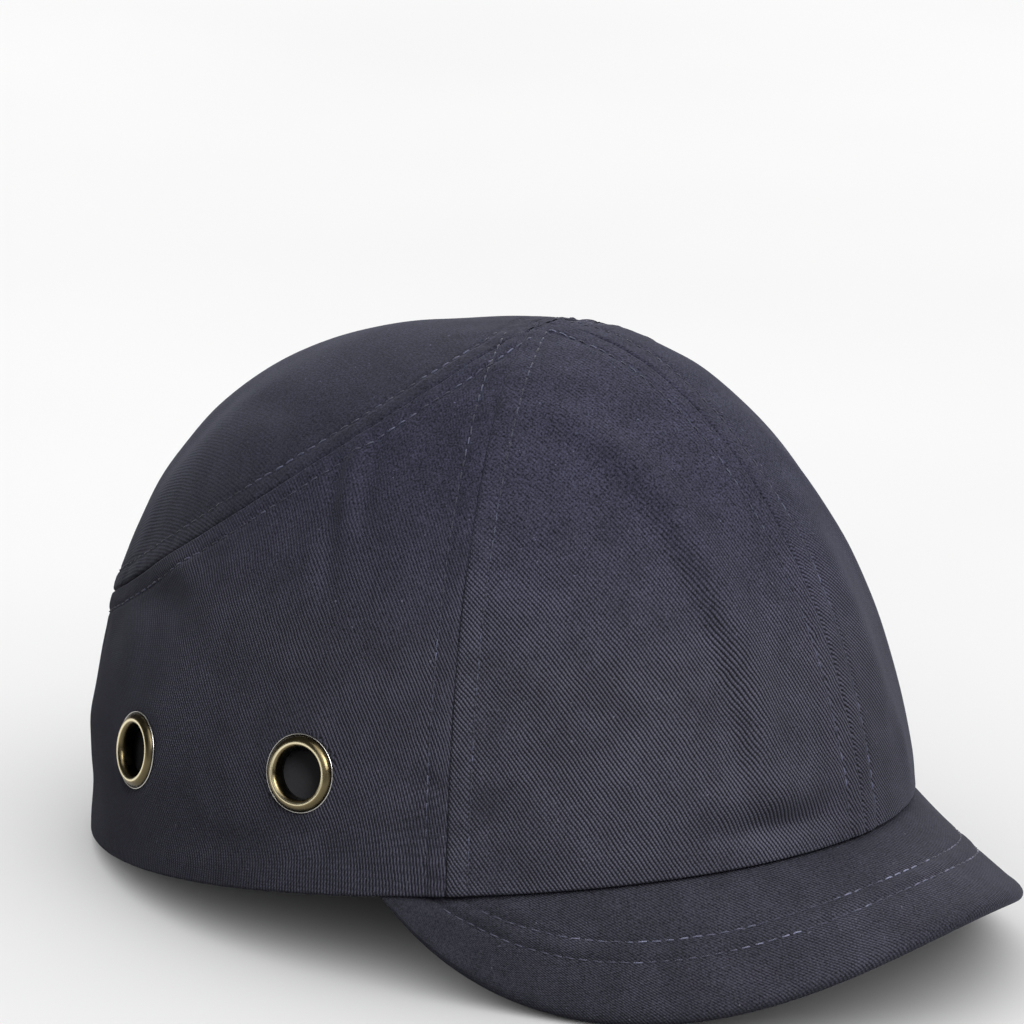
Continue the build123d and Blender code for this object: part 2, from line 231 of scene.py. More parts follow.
def lengths(curve):
    steps = np.linalg.norm(np.diff(curve, axis=0), axis=1)
    return np.concatenate([[0], np.cumsum(steps)])


def along(curve, shares):
    """Points at shares of a curve's length."""
    run = lengths(curve)
    return np.stack([np.interp(np.asarray(shares) * run[-1], run, part) for part in curve.T], -1)


def evenly(curve, count):
    return along(curve, np.linspace(0, 1, count))


def rounded(points, rounds=2, closed=False):
    """Rounds the corners of a path by cutting them, again and again."""
    path = np.array(points, float)
    for _ in range(rounds):
        following = np.roll(path, -1, axis=0) if closed else path[1:]
        here = path if closed else path[:-1]
        cut = np.stack([here * 0.75 + following * 0.25, here * 0.25 + following * 0.75], 1).reshape(-1, 2)
        path = cut if closed else np.vstack([path[:1], cut[1:-1], path[-1:]])
    return path


def plane_normal(points):
    first, second, third = np.array(points, float)
    return np.cross(second - first, third - first)


def seam_line(points, end):
    """Where the plane through three points meets the crown, from the apex to its end."""
    top = np.array(points[0], float)
    chord = end - top
    outward = np.cross(plane_normal(points), chord)
    outward *= np.sign(outward @ (np.array(points[1]) - top))
    shares = (1 - np.cos(np.linspace(0, math.pi, 500))) / 2
    curve = cast(top + shares[1:-1, None] * chord, np.tile(outward, (498, 1)))
    return evenly(np.vstack([top, curve, end]), 300)


apex = np.array(side_seam_points[0], float)
side_normal = plane_normal(side_seam_points)
rim_crossing = np.array([apex[0] + side_normal[2] * crown_height / side_normal[0], 0, 0])
side_direction = np.array([-side_normal[1], side_normal[0], 0])
side_direction *= -np.sign(side_direction[1])
side_foot = cast(rim_crossing[None], side_direction[None])[0]
back_normal = plane_normal(back_seam_points)
back_direction = unit(np.array([-back_normal[2], 0, back_normal[0]]))
back_direction *= -np.sign(back_direction[0])
back_foot = cast((apex + 5 * back_direction)[None], back_direction[None])[0]

side_seam = seam_line(side_seam_points, side_foot)
back_seam = seam_line(back_seam_points, back_foot)
fall = np.sin(np.linspace(0, math.pi / 2, 300))
front_seam = evenly(crown_point(0, crown_height * np.sqrt(1 - fall**2)), 300)


def arch_line(margin, count=200):
    """The rear opening's edge on the right, grown by a margin, from the rim to the centre back."""
    half = arch_half + margin
    straight = np.linspace(0, arch_spring, 30, endpoint=False)
    turn = np.linspace(0, math.pi / 2, 170)
    y = -np.concatenate([np.full(30, half), half * np.cos(turn)])
    z = np.concatenate([straight, arch_spring + (arch_height - arch_spring + margin) * np.sin(turn)])
    middle, _, rear, width = crown_level(z)
    x = middle - rear * np.sqrt(np.maximum(0, 1 - (y / width) ** 2))
    return evenly(np.stack([x, y, z], -1), count)


arch = arch_line(0)
heights = np.linspace(arch_height, back_foot[2], 20)
centre_back = crown_point(180, heights)
centre_back[:, 1] = 0


def rim_angle(point):
    middle, front, rear, half = crown_level(0.0)
    reach = front if point[0] >= middle else rear
    return math.degrees(math.atan2(-point[1] / half, (point[0] - middle) / reach))


side_foot_angle = rim_angle(side_foot)
arch_foot_angle = rim_angle(arch[0])


def distance_to(points, curve):
    """Each point's distance to a curve, and how far along the curve its nearest place is."""
    run = lengths(curve)
    distance = np.empty(len(points))
    place_along = np.empty(len(points))
    for start in range(0, len(points), 4000):
        part = points[start : start + 4000]
        nearest = ((part[:, None] - curve[None]) ** 2).sum(-1).argmin(1)
        best = np.full(len(part), np.inf)
        where = np.zeros(len(part))
        for shift in (-1, 0):
            first = np.clip(nearest + shift, 0, len(curve) - 2)
            step = curve[first + 1] - curve[first]
            share = ((part - curve[first]) * step).sum(-1) / np.maximum(1e-12, (step**2).sum(-1))
            share = np.clip(share, 0, 1)
            gap = np.linalg.norm(part - curve[first] - step * share[:, None], axis=-1)
            closer = gap < best
            best = np.where(closer, gap, best)
            where = np.where(closer, run[first] + share * (run[first + 1] - run[first]), where)
        distance[start : start + 4000] = best
        place_along[start : start + 4000] = where
    return distance, place_along


# ---- Relief of the sewn fabric ----


def wave(place_along, seed, pitches):
    """Uneven ripple along a seam, from -1 to 1."""
    draw = random.Random(seed)
    total = np.zeros_like(place_along)
    for pitch_length in pitches:
        total += np.sin(2 * math.pi * (place_along / pitch_length + draw.random()))
    return total / len(pitches)


def rolled(distance, radius):
    """How far a rolled edge falls away at a distance from its end."""
    share = np.clip(distance / radius, 0, 1)
    return radius * (1 - np.sqrt(1 - (1 - share) ** 2))


def seam_relief(points, curve, seed, lift):
    distance, run = distance_to(points, curve)
    rise = -rolled(distance, seam_roll)
    if lift:
        rise += lift * (1 - smooth(distance, 1.5, seam_row + 4.5)) * smooth(run, 6, 34)
        rise -= 0.34 * np.exp(-(((distance - seam_row) / 0.75) ** 2))
        near = np.exp(-(((distance - 3.2) / 2.2) ** 2))
        rise += 0.3 * near * wave(run, seed, (5.3, 7.9, 12.5))
        far = smooth(distance, 4, 9) * (1 - smooth(distance, 12, 26))
        rise += 0.3 * far * wave(run, seed + 1, (13, 21, 34))
    return rise


def dent(points, angle, height, across, length, turn, depth):
    """A soft fold: across and length are its half sizes in mm, and turn its lean from upright."""
    centre = crown_point(angle, height)
    normal = chart_normal(to_chart(centre[None]))[0]
    over = unit(np.cross((0, 0, 1), normal))
    up = np.cross(normal, over)
    lean = math.radians(turn)
    offset = points - centre
    level = offset @ over
    rise = offset @ up
    wide = (level * math.cos(lean) - rise * math.sin(lean)) / across
    long = (level * math.sin(lean) + rise * math.cos(lean)) / length
    same_side = (offset @ normal) > -40
    return depth * np.exp(-(wide**2) - long**2) * same_side


def crease(points, route, width, depth):
    """A long soft ridge, or a trough where depth is negative, along a route of angles and heights."""
    curve = crown_point(*rounded(route, 3).T)
    distance, run = distance_to(points, evenly(curve, 120))
    total = lengths(curve)[-1]
    ends = smooth(run, -1, 0.2 * total) * (1 - smooth(run, 0.8 * total, total + 1))
    return depth * (0.35 + 0.65 * ends) * np.exp(-((distance / width) ** 2))


def broad_relief(points, seed, amount=0.75, size=42.0):
    shift = Vector((seed * 7.3, seed * 3.1, seed * 5.7))
    wide = [noise.noise(Vector(point) / size + shift) for point in points]
    fine = [noise.noise(Vector(point) / (size / 2.4) + shift) for point in points]
    return amount * (np.array(wide) + 0.4 * np.array(fine))


# Soft folds of the fabric, by panel. A dent has an angle, height, half width, half length, lean and
# depth, and a crease has a route of angles and heights, a width and a depth.
front_route = (
    (48, 104), (35, 95), (29.5, 85), (26, 72), (24.5, 60), (23.5, 47), (23, 34), (23, 23), (22, 15),
)
ridge_route = tuple((angle - 5, height + 1) for angle, height in front_route)
folds = {
    "front_panel_right": (
        (17, 7.5, 15, 3.6, 4, -2.7), (19, 16.5, 17, 5, 0, 1.8), (52, 42, 8, 26, 4, 0.5),
        (44, 24, 12, 9, 0, 0.5), (-2, 25, 3, 14, 4, -0.5),
    ),
    "side_panel_right": (
        (98, 52, 22, 7, 24, -0.6), (126, 44, 16, 9, -18, 0.7), (137, 30, 12, 6, 0, 0.8),
        (138, 12, 14, 6, 0, -0.9), (96, 10, 16, 5, 0, -0.6), (78, 40, 7, 26, 3, -0.6),
        (112, 30, 9, 14, 10, 0.5),
    ),
    "front_panel_left": (
        (30, 106, 10, 16, 30, 0.8), (26, 58, 4, 40, 4, 0.8), (18, 13, 4, 14, 8, 0.6),
        (44, 40, 9, 30, -10, -0.6), (60, 20, 20, 5, 0, -0.8),
    ),
    "side_panel_left": (
        (86, 58, 10, 24, 12, -0.6), (120, 40, 20, 9, -15, -0.8), (104, 12, 18, 5, 0, 0.6),
    ),
    "top_back_panel": (
        (125, 106, 14, 6, 8, -1.2), (150, 100, 9, 30, 10, -0.9), (172, 84, 16, 9, 0, 0.8),
        (-155, 92, 10, 22, -14, 0.8), (-168, 72, 16, 6, 0, -0.8),
    ),
}
creases = {
    "front_panel_right": ((front_route, 4.0, -1.5), (ridge_route, 5.5, 2.6)),
    "side_panel_right": (
        (((95, 101), (90, 93), (85, 80), (82, 66)), 3.4, -1.1),
        (((90, 104), (83.5, 95), (80, 82)), 3.0, -1.0),
        (((92, 103), (88, 95), (83.5, 84)), 3.2, 1.3),
        (((140, 66), (124, 65), (110, 62)), 6.5, -1.3),
        (((140, 76), (124, 74), (108, 70)), 5.0, 1.0),
    ),
    "front_panel_left": ((((10, 70), (12, 45), (14, 20)), 6.0, 0.9),),
    "side_panel_left": (
        (((100, 95), (92, 76), (88, 56)), 5.0, -0.8), (((142, 60), (122, 62)), 6.0, -1.0),
    ),
    "top_back_panel": (),
}


# ---- Meshes ----


def new_object(name, data):
    """Puts a mesh, camera or light into the scene as a new object."""
    piece = bpy.data.objects.new(name, data)
    bpy.context.scene.collection.objects.link(piece)
    return piece


def publish(name, points, faces, material, body="cap", stands_for=(), uv=None, merge=1e-5):
    """A finished piece from points in the cap's frame, riding on a body."""
    mesh = bpy.data.meshes.new(name)
    mesh.from_pydata(place(points).tolist(), [], [list(map(int, face)) for face in faces])
    if uv is not None:
        if 2 * len(uv) == len(points):
            uv = np.tile(uv, (2, 1))  # both sides of a sheet
        layer = mesh.uv_layers.new(name="weave")
        corners = np.empty(len(mesh.loops), int)
        mesh.loops.foreach_get("vertex_index", corners)
        layer.data.foreach_set("uv", np.asarray(uv, np.float32)[corners].ravel())
    mesh.materials.append(material)
    work = bmesh.new()
    work.from_mesh(mesh)
    bmesh.ops.remove_doubles(work, verts=work.verts, dist=merge)
    bmesh.ops.dissolve_degenerate(work, edges=work.edges, dist=merge / 2)
    loose = [vertex for vertex in work.verts if not vertex.link_faces]
    bmesh.ops.delete(work, geom=loose, context="VERTS")
    bmesh.ops.recalc_face_normals(work, faces=work.faces)
    work.to_mesh(mesh)
    work.free()
    mesh.shade_smooth()
    piece = new_object(name, mesh)
    if body:
        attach(piece, body)
    if stands_for:
        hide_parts(*stands_for)
    return piece


def face_tree(points, faces):
    """Search tree of some faces, for laying stitches on them."""
    return BVHTree.FromPolygons(np.asarray(points).tolist(), [list(map(int, face)) for face in faces])


def cell_corners(grid):
    """The corners of every cell of a grid, in order round the cell."""
    return grid[:-1, :-1], grid[:-1, 1:], grid[1:, 1:], grid[1:, :-1]


def sheet_faces(rows, columns, kept=None):
    """Faces of a closed sheet whose two sides are grids of rows x columns points, one after the other."""
    if kept is None:
        kept = np.ones((rows - 1, columns - 1), bool)
    index = np.arange(rows * columns).reshape(rows, columns)
    corners = cell_corners(index)
    outer = np.stack([corner[kept] for corner in corners], -1)
    inner = outer[:, ::-1] + rows * columns
    framed = np.zeros((rows + 1, columns + 1), bool)
    framed[1:-1, 1:-1] = kept
    beside = (framed[:-2, 1:-1], framed[1:-1, 2:], framed[2:, 1:-1], framed[1:-1, :-2])
    walls = []
    for side, neighbour in enumerate(beside):
        open_side = kept & ~neighbour
        first = corners[side][open_side]
        second = corners[(side + 1) % 4][open_side]
        walls.append(np.stack([second, first, first + rows * columns, second + rows * columns], -1))
    return np.concatenate([outer, inner, *walls])


def tube_faces(rings, around, closed=False):
    """Faces of a tube of rings, with flat ends whose points pair up across the section."""
    index = np.arange(rings * around).reshape(rings, around)
    last = rings if closed else rings - 1
    faces = []
    for ring in range(last):
        here, there = index[ring], index[(ring + 1) % rings]
        for k in range(around):
            faces.append((here[k], here[(k + 1) % around], there[(k + 1) % around], there[k]))
    if not closed:
        for ring in (index[0], index[-1]):
            for k in range(around // 2 - 1):
                faces.append((ring[k], ring[k + 1], ring[around - 2 - k], ring[around - 1 - k]))
    return faces


def spacing(length, low=True, high=True, step=grid_step):
    """Shares of a length, close together at its sewn ends."""
    start = edge_steps if low else (0,)
    end = edge_steps if high else (0,)
    count = max(2, round((length - start[-1] - end[-1]) / step))
    body = start[-1] + (length - start[-1] - end[-1]) * np.arange(1, count) / count
    return np.concatenate([start, body, length - np.array(end[::-1])]) / length


def patch(bottom, top, left, right, across, up):
    """Chart points of a panel between four border curves."""
    low, high = (to_chart(along(curve, across)) for curve in (bottom, top))
    first, last = (to_chart(along(curve, up)) for curve in (left, right))
    u = across[None, :, None]
    v = up[:, None, None]
    ruled = (1 - v) * low[None] + v * high[None] + (1 - u) * first[:, None] + u * last[:, None]
    below = (1 - v) * ((1 - u) * low[0] + u * low[-1])
    above = v * ((1 - u) * high[0] + u * high[-1])
    return ruled - below - above


def unrolled(grid, middle, twill_angle):
    """Flat cloth coordinates of a grid of points in mm: across the twill's ribs and along them."""
    rows = np.linalg.norm(np.diff(grid, axis=1), axis=-1)
    u = np.concatenate([np.zeros((len(grid), 1)), np.cumsum(rows, 1)], 1)
    u -= u[:, middle : middle + 1]
    v = lengths(grid[:, middle])[:, None] + np.zeros_like(u)
    turn = math.radians(twill_angle)
    sine, cosine = math.sin(turn), math.cos(turn)
    return np.stack([u * sine - v * cosine, u * cosine + v * sine], -1)


def eyelet_frame(angle):
    """Centre, axis and two directions across an eyelet."""
    centre = crown_point(angle, eyelet_height)
    over = crown_point(angle - 0.5, eyelet_height) - crown_point(angle + 0.5, eyelet_height)
    up = crown_point(angle, eyelet_height + 0.5) - crown_point(angle, eyelet_height - 0.5)
    axis = unit(np.cross(over, up))
    over = unit(over)
    return centre, axis, over, np.cross(axis, over)


def about_eyelet(points, angle):
    """Each point's height along an eyelet's axis and offset across it, and the axis."""
    centre, axis, _, _ = eyelet_frame(angle)
    offset = points - centre
    height = offset @ axis
    return height, offset - height[:, None] * axis, axis


def seat_eyelets(points, angles, sunk=0.1):
    """Presses the fabric flat under each eyelet's flange."""
    for angle in angles:
        height, across, axis = about_eyelet(points, angle)
        near = (1 - smooth(np.linalg.norm(across, axis=-1), 9.2, 15)) * (np.abs(height) < far_side)
        points = points + (near * (-sunk - height))[:, None] * axis
    return points


def panel(node, chart, seams, hems, seed, twill_angle, side, material, eyelets=()):
    """One fabric panel: a closed sheet with rolled edges, seam allowances, puckers and soft folds."""
    rows, columns = chart.shape[:2]
    flat = chart.reshape(-1, 2)
    base = from_chart(flat)
    normal = chart_normal(flat)
    soft = broad_relief(base, seed)
    for fold in folds[node]:
        soft += dent(base, *fold)
    for fold in creases[node]:
        soft += crease(base, *fold)
    room = 2.8 - 1.3 * smooth(base[:, 2], 16, 24)  # below the fabric, before it meets what is inside
    soft = np.maximum(soft, -room)
    rise = soft.copy()
    sink = soft - fabric_thick
    edge = np.full(len(base), 99.0)
    for number, (curve, lift) in enumerate(seams):
        distance, _ = distance_to(base, curve)
        edge = np.minimum(edge, distance)
        rise += seam_relief(base, curve, 10 * seed + number, lift)
    for curve, thick in hems:
        distance, _ = distance_to(base, curve)
        edge = np.minimum(edge, distance)
        fold_in = (thick - fabric_thick) * (1 - smooth(distance, 11, 13))
        sink -= fold_in
        rise -= rolled(distance, thick / 2)
        sink += rolled(distance, thick / 2)
    settle = smooth(edge, 0, 9)
    rise -= soft * (1 - settle) * 0.7
    sink -= soft * (1 - settle) * 0.7
    outer = base + normal * rise[:, None]
    inner = base + normal * sink[:, None]
    kept = np.ones((rows - 1, columns - 1), bool)
    outer = seat_eyelets(outer, eyelets)
    inner = seat_eyelets(inner, eyelets, sunk=0.1 + fabric_thick)
    for angle in eyelets:
        height, across, _ = about_eyelet(base, angle)
        reach = np.where(np.abs(height) < far_side, np.linalg.norm(across, axis=-1), np.inf)
        cut = (reach < eyelet_cut).reshape(rows, columns)
        gone = np.any(cell_corners(cut), axis=0)
        kept &= ~gone
        lip = np.zeros((rows, columns), bool)
        for corner in cell_corners(lip):
            corner |= gone
        lip = (lip & ~cut).ravel()
        pull = across[lip] * (eyelet_cut / reach[lip] - 1)[:, None]
        outer[lip] += pull
        inner[lip] += pull
    cloth = unrolled(base.reshape(rows, columns, 3), columns // 2, twill_angle).reshape(-1, 2)
    points = np.concatenate([outer, inner])
    if side < 0:
        points = mirrored(points)
    faces = sheet_faces(rows, columns, kept)
    crown_trees.append(face_tree(points, faces[: kept.sum()]))
    publish(f"{node}_cloth", points, faces, material, stands_for=[node], uv=cloth)


# ---- Materials ----


class Graph:
    """A material and short ways to add nodes to it."""

    def __init__(self, name):
        self.material = bpy.data.materials.new(name)
        self.material.use_nodes = True
        self.tree = self.material.node_tree
        self.shader = next(node for node in self.tree.nodes if node.type == "BSDF_PRINCIPLED")

    def node(self, kind, inputs=None, **settings):
        node = self.tree.nodes.new("ShaderNode" + kind)
        for setting, value in settings.items():
            setattr(node, setting, value)
        for key, value in (inputs or {}).items():
            if isinstance(value, bpy.types.NodeSocket):
                self.tree.links.new(value, node.inputs[key])
            else:
                node.inputs[key].default_value = value
        return node

    def math(self, operation, *values):
        node = self.node("Math", dict(enumerate(values)), operation=operation)
        return node.outputs[0]

    def times(self, first, second):
        return self.math("MULTIPLY", first, second)

    def scaled(self, value, factor, shift):
        """value * factor + shift"""
        return self.math("MULTIPLY_ADD", value, factor, shift)

    def noise(self, position, scale, detail=2.0):
        inputs = {"Vector": position, "Scale": scale, "Detail": detail}
        return self.node("TexNoise", inputs).outputs["Fac"]

    def ramp(self, value, *stops):
        """Colour ramp through stops of (place, grey level or colour)."""
        node = self.node("ValToRGB", {"Fac": value})
        elements = node.color_ramp.elements
        while len(elements) < len(stops):
            elements.new(0.5)
        for element, (spot, colour) in zip(elements, stops):
            element.position = spot
            element.color = (*colour, 1) if isinstance(colour, tuple) else (colour, colour, colour, 1)
        return node.outputs["Color"]

    def mix(self, share, first, second, blend="MIX"):
        node = self.node("Mix", {"Factor": share}, data_type="RGBA", blend_type=blend)
        for socket, value in ((node.inputs[6], first), (node.inputs[7], second)):
            if isinstance(value, bpy.types.NodeSocket):
                self.tree.links.new(value, socket)
            else:
                socket.default_value = (*value, 1)
        return node.outputs[2]

    def cloth(self):
        """The weave coordinates in mm and the position in metres."""
        flat = self.node("UVMap", uv_map="weave").outputs[0]
        parts = self.node("SeparateXYZ", {0: flat}).outputs
        return parts[0], parts[1], self.position()

    def position(self):
        return self.node("TexCoord").outputs["Object"]

    def ripple(self, phase):
        """0 to 1 and back as phase grows by one."""
        wave_value = self.math("COSINE", self.times(phase, 2 * math.pi))
        return self.scaled(wave_value, 0.5, 0.5)

    def finish(self, colour, height=None, distance=1e-4, strength=1.0, roughness=0.8, **fixed):
        """Links colour, bump and roughness, and sets the shader's other values on its own sockets."""
        links = {"Base Color": colour, "Roughness": roughness}
        if height is not None:
            inputs = {"Height": height, "Distance": distance, "Strength": strength}
            links["Normal"] = self.node("Bump", inputs).outputs["Normal"]
        for key, value in links.items():
            if isinstance(value, bpy.types.NodeSocket):
                self.tree.links.new(value, self.shader.inputs[key])
            elif isinstance(value, tuple):
                self.shader.inputs[key].default_value = (*value, 1)
            else:
                self.shader.inputs[key].default_value = value
        for key, value in fixed.items():
            self.shader.inputs[key.replace("_", " ").title().replace("Ior", "IOR")].default_value = value
        return self.material


yarn_pitch = 0.72


def twill(name, dark, light, crispness, rib_pitch=0.86):
    """Cotton twill: slanted ribs of short floats, brushed to fuzz towards the top, with lint."""
    graph = Graph(name)
    across, lengthwise, spot = graph.cloth()
    level = graph.node("SeparateXYZ", {0: spot}).outputs[2]
    wander = graph.noise(spot, 160, 2)
    ribs = graph.math("DIVIDE", across, rib_pitch)
    ribs = graph.scaled(wander, 0.9, ribs)
    rib = graph.ripple(ribs)
    floats = graph.scaled(ribs, 0.36, graph.math("DIVIDE", lengthwise, yarn_pitch))
    yarn = graph.scaled(graph.ripple(floats), 0.6, 0.45)
    grain = graph.noise(spot, 2000, 3)
    patchy = graph.ramp(graph.noise(spot, 42, 3), (0.3, 0.45), (0.62, 1.0))
    brushed = graph.ramp(level, (0.078, 1.0), (0.116, 0.12))
    crisp = graph.times(graph.times(patchy, brushed), crispness)
    height = graph.times(graph.times(rib, yarn), crisp)
    loose = graph.scaled(crisp, -0.33, 0.33)
    fuzz = graph.scaled(crisp, -0.6, 1.35)
    speckle = graph.times(graph.math("ADD", grain, -0.5), fuzz)
    tone = graph.scaled(height, 1.75, graph.math("ADD", speckle, loose))
    colour = graph.mix(graph.math("ADD", tone, -0.085), dark, light)
    for size, low, high in ((14, 0.86, 1.1), (120, 0.84, 1.12)):
        washed = graph.ramp(graph.noise(spot, size, 3), (0.32, low), (0.68, high))
        colour = graph.mix(1.0, colour, washed, "MULTIPLY")
    lint = graph.ramp(graph.noise(spot, 900, 1), (0.775, 0.0), (0.80, 1.0))
    colour = graph.mix(graph.times(lint, 0.4), colour, (0.16, 0.16, 0.21))
    bluer = graph.mix(brushed, (1.05, 1.06, 1.3), (1.0, 1.0, 1.0))
    colour = graph.mix(1.0, colour, bluer, "MULTIPLY")
    bump = graph.scaled(grain, 0.5, height)
    return graph.finish(
        colour, bump, 2.4e-4, 0.85, 0.88, sheen_weight=0.10, sheen_roughness=0.45,
        sheen_tint=(0.55, 0.58, 0.75, 1), specular_ior_level=0.2,
    )


def thread_material(name, dark, light):
    graph = Graph(name)
    spot = graph.position()
    # Lighter patches of thread: painted highlights, where stitches catch the light here and there.
    tone_patches = graph.ramp(graph.noise(spot, 110, 3), (0.5, 0.0), (0.72, 1.0))
    colour = graph.mix(tone_patches, dark, light)
    return graph.finish(
        colour, graph.noise(spot, 2500, 2), 6e-5, 0.7, 0.62, sheen_weight=0.15, specular_ior_level=0.4,
    )


crown_twill = twill("navy_twill_crown", (0.0022, 0.0022, 0.0045), (0.074, 0.073, 0.102), 1.0)
side_twill = twill("navy_twill_side", (0.0022, 0.0022, 0.0045), (0.066, 0.065, 0.093), 0.72, 0.74)
brushed_twill = twill("navy_twill_brushed", (0.0022, 0.0022, 0.0045), (0.058, 0.058, 0.078), 0.45)
peak_twill = twill("navy_twill_peak", (0.003, 0.003, 0.006), (0.058, 0.058, 0.08), 0.42)
thread = thread_material("peak_thread", (0.026, 0.027, 0.047), (0.17, 0.175, 0.26))
crown_thread = thread_material("crown_thread", (0.014, 0.015, 0.03), (0.085, 0.09, 0.15))


# ---- Camera, floor and light ----


def bearing(turn, rise):
    """Direction at an angle towards the cap's right from its front, and an angle above the rim plane."""
    return np.array([math.cos(turn) * math.cos(rise), -math.sin(turn) * math.cos(rise), math.sin(rise)])


def add_camera():
    """Camera in front of the cap's right side, a little above the rim."""
    turn, rise, roll = np.radians(camera_angles)
    back = bearing(turn, rise)
    level = np.array([math.sin(turn), math.cos(turn), 0])
    upright = np.cross(back, level)
    right = level * math.cos(roll) + upright * math.sin(roll)
    up = upright * math.cos(roll) - level * math.sin(roll)
    aim = np.array([0, 0, camera_height]) + camera_shift[0] * right + camera_shift[1] * up
    data = bpy.data.cameras.new("view")
    data.sensor_width = 36
    data.lens = camera_lens
    data.clip_end = 50
    camera = new_object("view", data)
    turn_matrix = np.stack([rest_turn @ right, rest_turn @ up, rest_turn @ back], 1)
    matrix = Matrix(turn_matrix.tolist()).to_4x4()
    matrix.translation = Vector(place(aim + camera_distance * back))
    camera.matrix_world = matrix
    bpy.context.scene.camera = camera


def add_floor():
    graph = Graph("pale_floor")
    spot = graph.position()
    colour = graph.ramp(graph.noise(spot, 3, 2), (0.3, 0.86), (0.7, 0.9))
    material = graph.finish(colour, roughness=0.9, specular_ior_level=0.2)
    half = 12.0
    mesh = bpy.data.meshes.new("floor")
    corners = [(-half, -half, 0), (half, -half, 0), (half, half, 0), (-half, half, 0)]
    mesh.from_pydata(corners, [], [(0, 1, 2, 3)])
    mesh.materials.append(material)
    floor = new_object("floor", mesh)
    floor.visible_diffuse = False  # it sends no light back onto the cap
    return floor


def light_only(light, piece, state):
    """Links a light to one object: INCLUDE lights nothing else, and EXCLUDE leaves it out."""
    receivers = bpy.data.collections.new(f"{light.name}_receivers")
    receivers.objects.link(piece)
    receivers.collection_objects[0].light_linking.link_state = state
    light.light_linking.receiver_collection = receivers


def add_light(name, azimuth, elevation, distance, size, power, floor):
    """A square softbox that faces the cap: azimuth 0 stands in front of the peak, 90 on its right."""
    data = bpy.data.lights.new(name, "AREA")
    data.shape = "SQUARE"
    data.size = size
    data.energy = power
    light = new_object(name, data)
    direction = Vector(bearing(math.radians(azimuth), math.radians(elevation)))
    light.location = direction * distance + Vector((0, 0, 0.07))
    light.rotation_euler = direction.to_track_quat("Z", "Y").to_euler()
    light_only(light, floor, "EXCLUDE")


def add_studio(floor):
    """Softboxes for the cap, and an even light from straight above for the floor."""
    scene = bpy.context.scene
    scene.view_settings.view_transform = "Standard"
    world = bpy.data.worlds.new("studio")
    scene.world = world
    world.use_nodes = True
    background = world.node_tree.nodes["Background"]
    background.inputs["Color"].default_value = (1.0, 1.0, 1.0, 1)
    background.inputs["Strength"].default_value = 0.08
    add_light("key", 27, 41, 1.7, 0.8, 35, floor)
    add_light("fill", 70, 25, 2.0, 1.2, 3, floor)
    add_light("top", 56, 62, 1.6, 1.0, 9, floor)
    add_light("rear", 238, 42, 1.8, 1.2, 19, floor)
    data = bpy.data.lights.new("sky", "SUN")
    data.energy = 3.15
    data.angle = math.radians(150)
    light_only(new_object("sky", data), floor, "INCLUDE")


add_camera()
add_studio(add_floor())


# ---- Crown ----

crown_trees = []  # the panels' outer faces, which stitches are laid on
seam_length = lengths(side_seam)[-1]
rim_line = crown_point(np.linspace(0, arch_foot_angle, 400), 0)
sewn_rear = np.vstack([arch, centre_back[1:]])

front_border = dict(
    bottom=crown_point(np.linspace(0, side_foot_angle, 200), 0), top=np.tile(apex, (2, 1)),
    left=front_seam[::-1], right=side_seam[::-1],
)
side_border = dict(
    bottom=crown_point(np.linspace(side_foot_angle, arch_foot_angle, 200), 0), top=back_seam,
    left=side_seam[::-1], right=sewn_rear,
)
back_border = dict(
    bottom=np.tile(apex, (2, 1)), top=np.tile(back_foot, (2, 1)),
    left=back_seam, right=mirrored(back_seam),
)


def panel_chart(border, width, height, **ends):
    across = spacing(width)
    up = spacing(height, **ends)
    return patch(**border, across=across, up=up)


front_chart = panel_chart(front_border, lengths(front_border["bottom"])[-1], seam_length, high=False)
side_chart = panel_chart(side_border, lengths(side_border["bottom"])[-1], seam_length)
back_chart = panel_chart(back_border, 95, lengths(back_seam)[-1], low=False, high=False)

for (hand, side), seed in zip(hands, (3, 8)):
    panel(
        f"front_panel_{hand}", front_chart, [(side_seam, 0.85), (front_seam, 0.4)],
        [(rim_line, hem_thick)], seed, 60 * side, side, crown_twill,
    )
    panel(
        f"side_panel_{hand}", side_chart, [(side_seam, 0.5), (back_seam, 0.4), (centre_back, 0)],
        [(rim_line, hem_thick), (arch, fabric_thick)], seed + 1, 62 * side, side, side_twill,
        eyelet_angles.values(),
    )
panel(
    "top_back_panel", back_chart, [(back_seam, 0.3), (mirrored(back_seam), 0.3)], [],
    6, 62, 1, brushed_twill,
)


# ---- Stitches ----


def nearest_surface(point, trees, centre, side):
    """Nearest place on some surfaces, and the way out of it: from a centre, or towards it at side -1."""
    spot, normal, _, _ = min((tree.find_nearest(Vector(point)) for tree in trees), key=lambda hit: hit[3])
    spot, normal = np.array(spot), np.array(normal)
    return spot, normal * (side if normal @ (spot - centre) > 0 else -side)


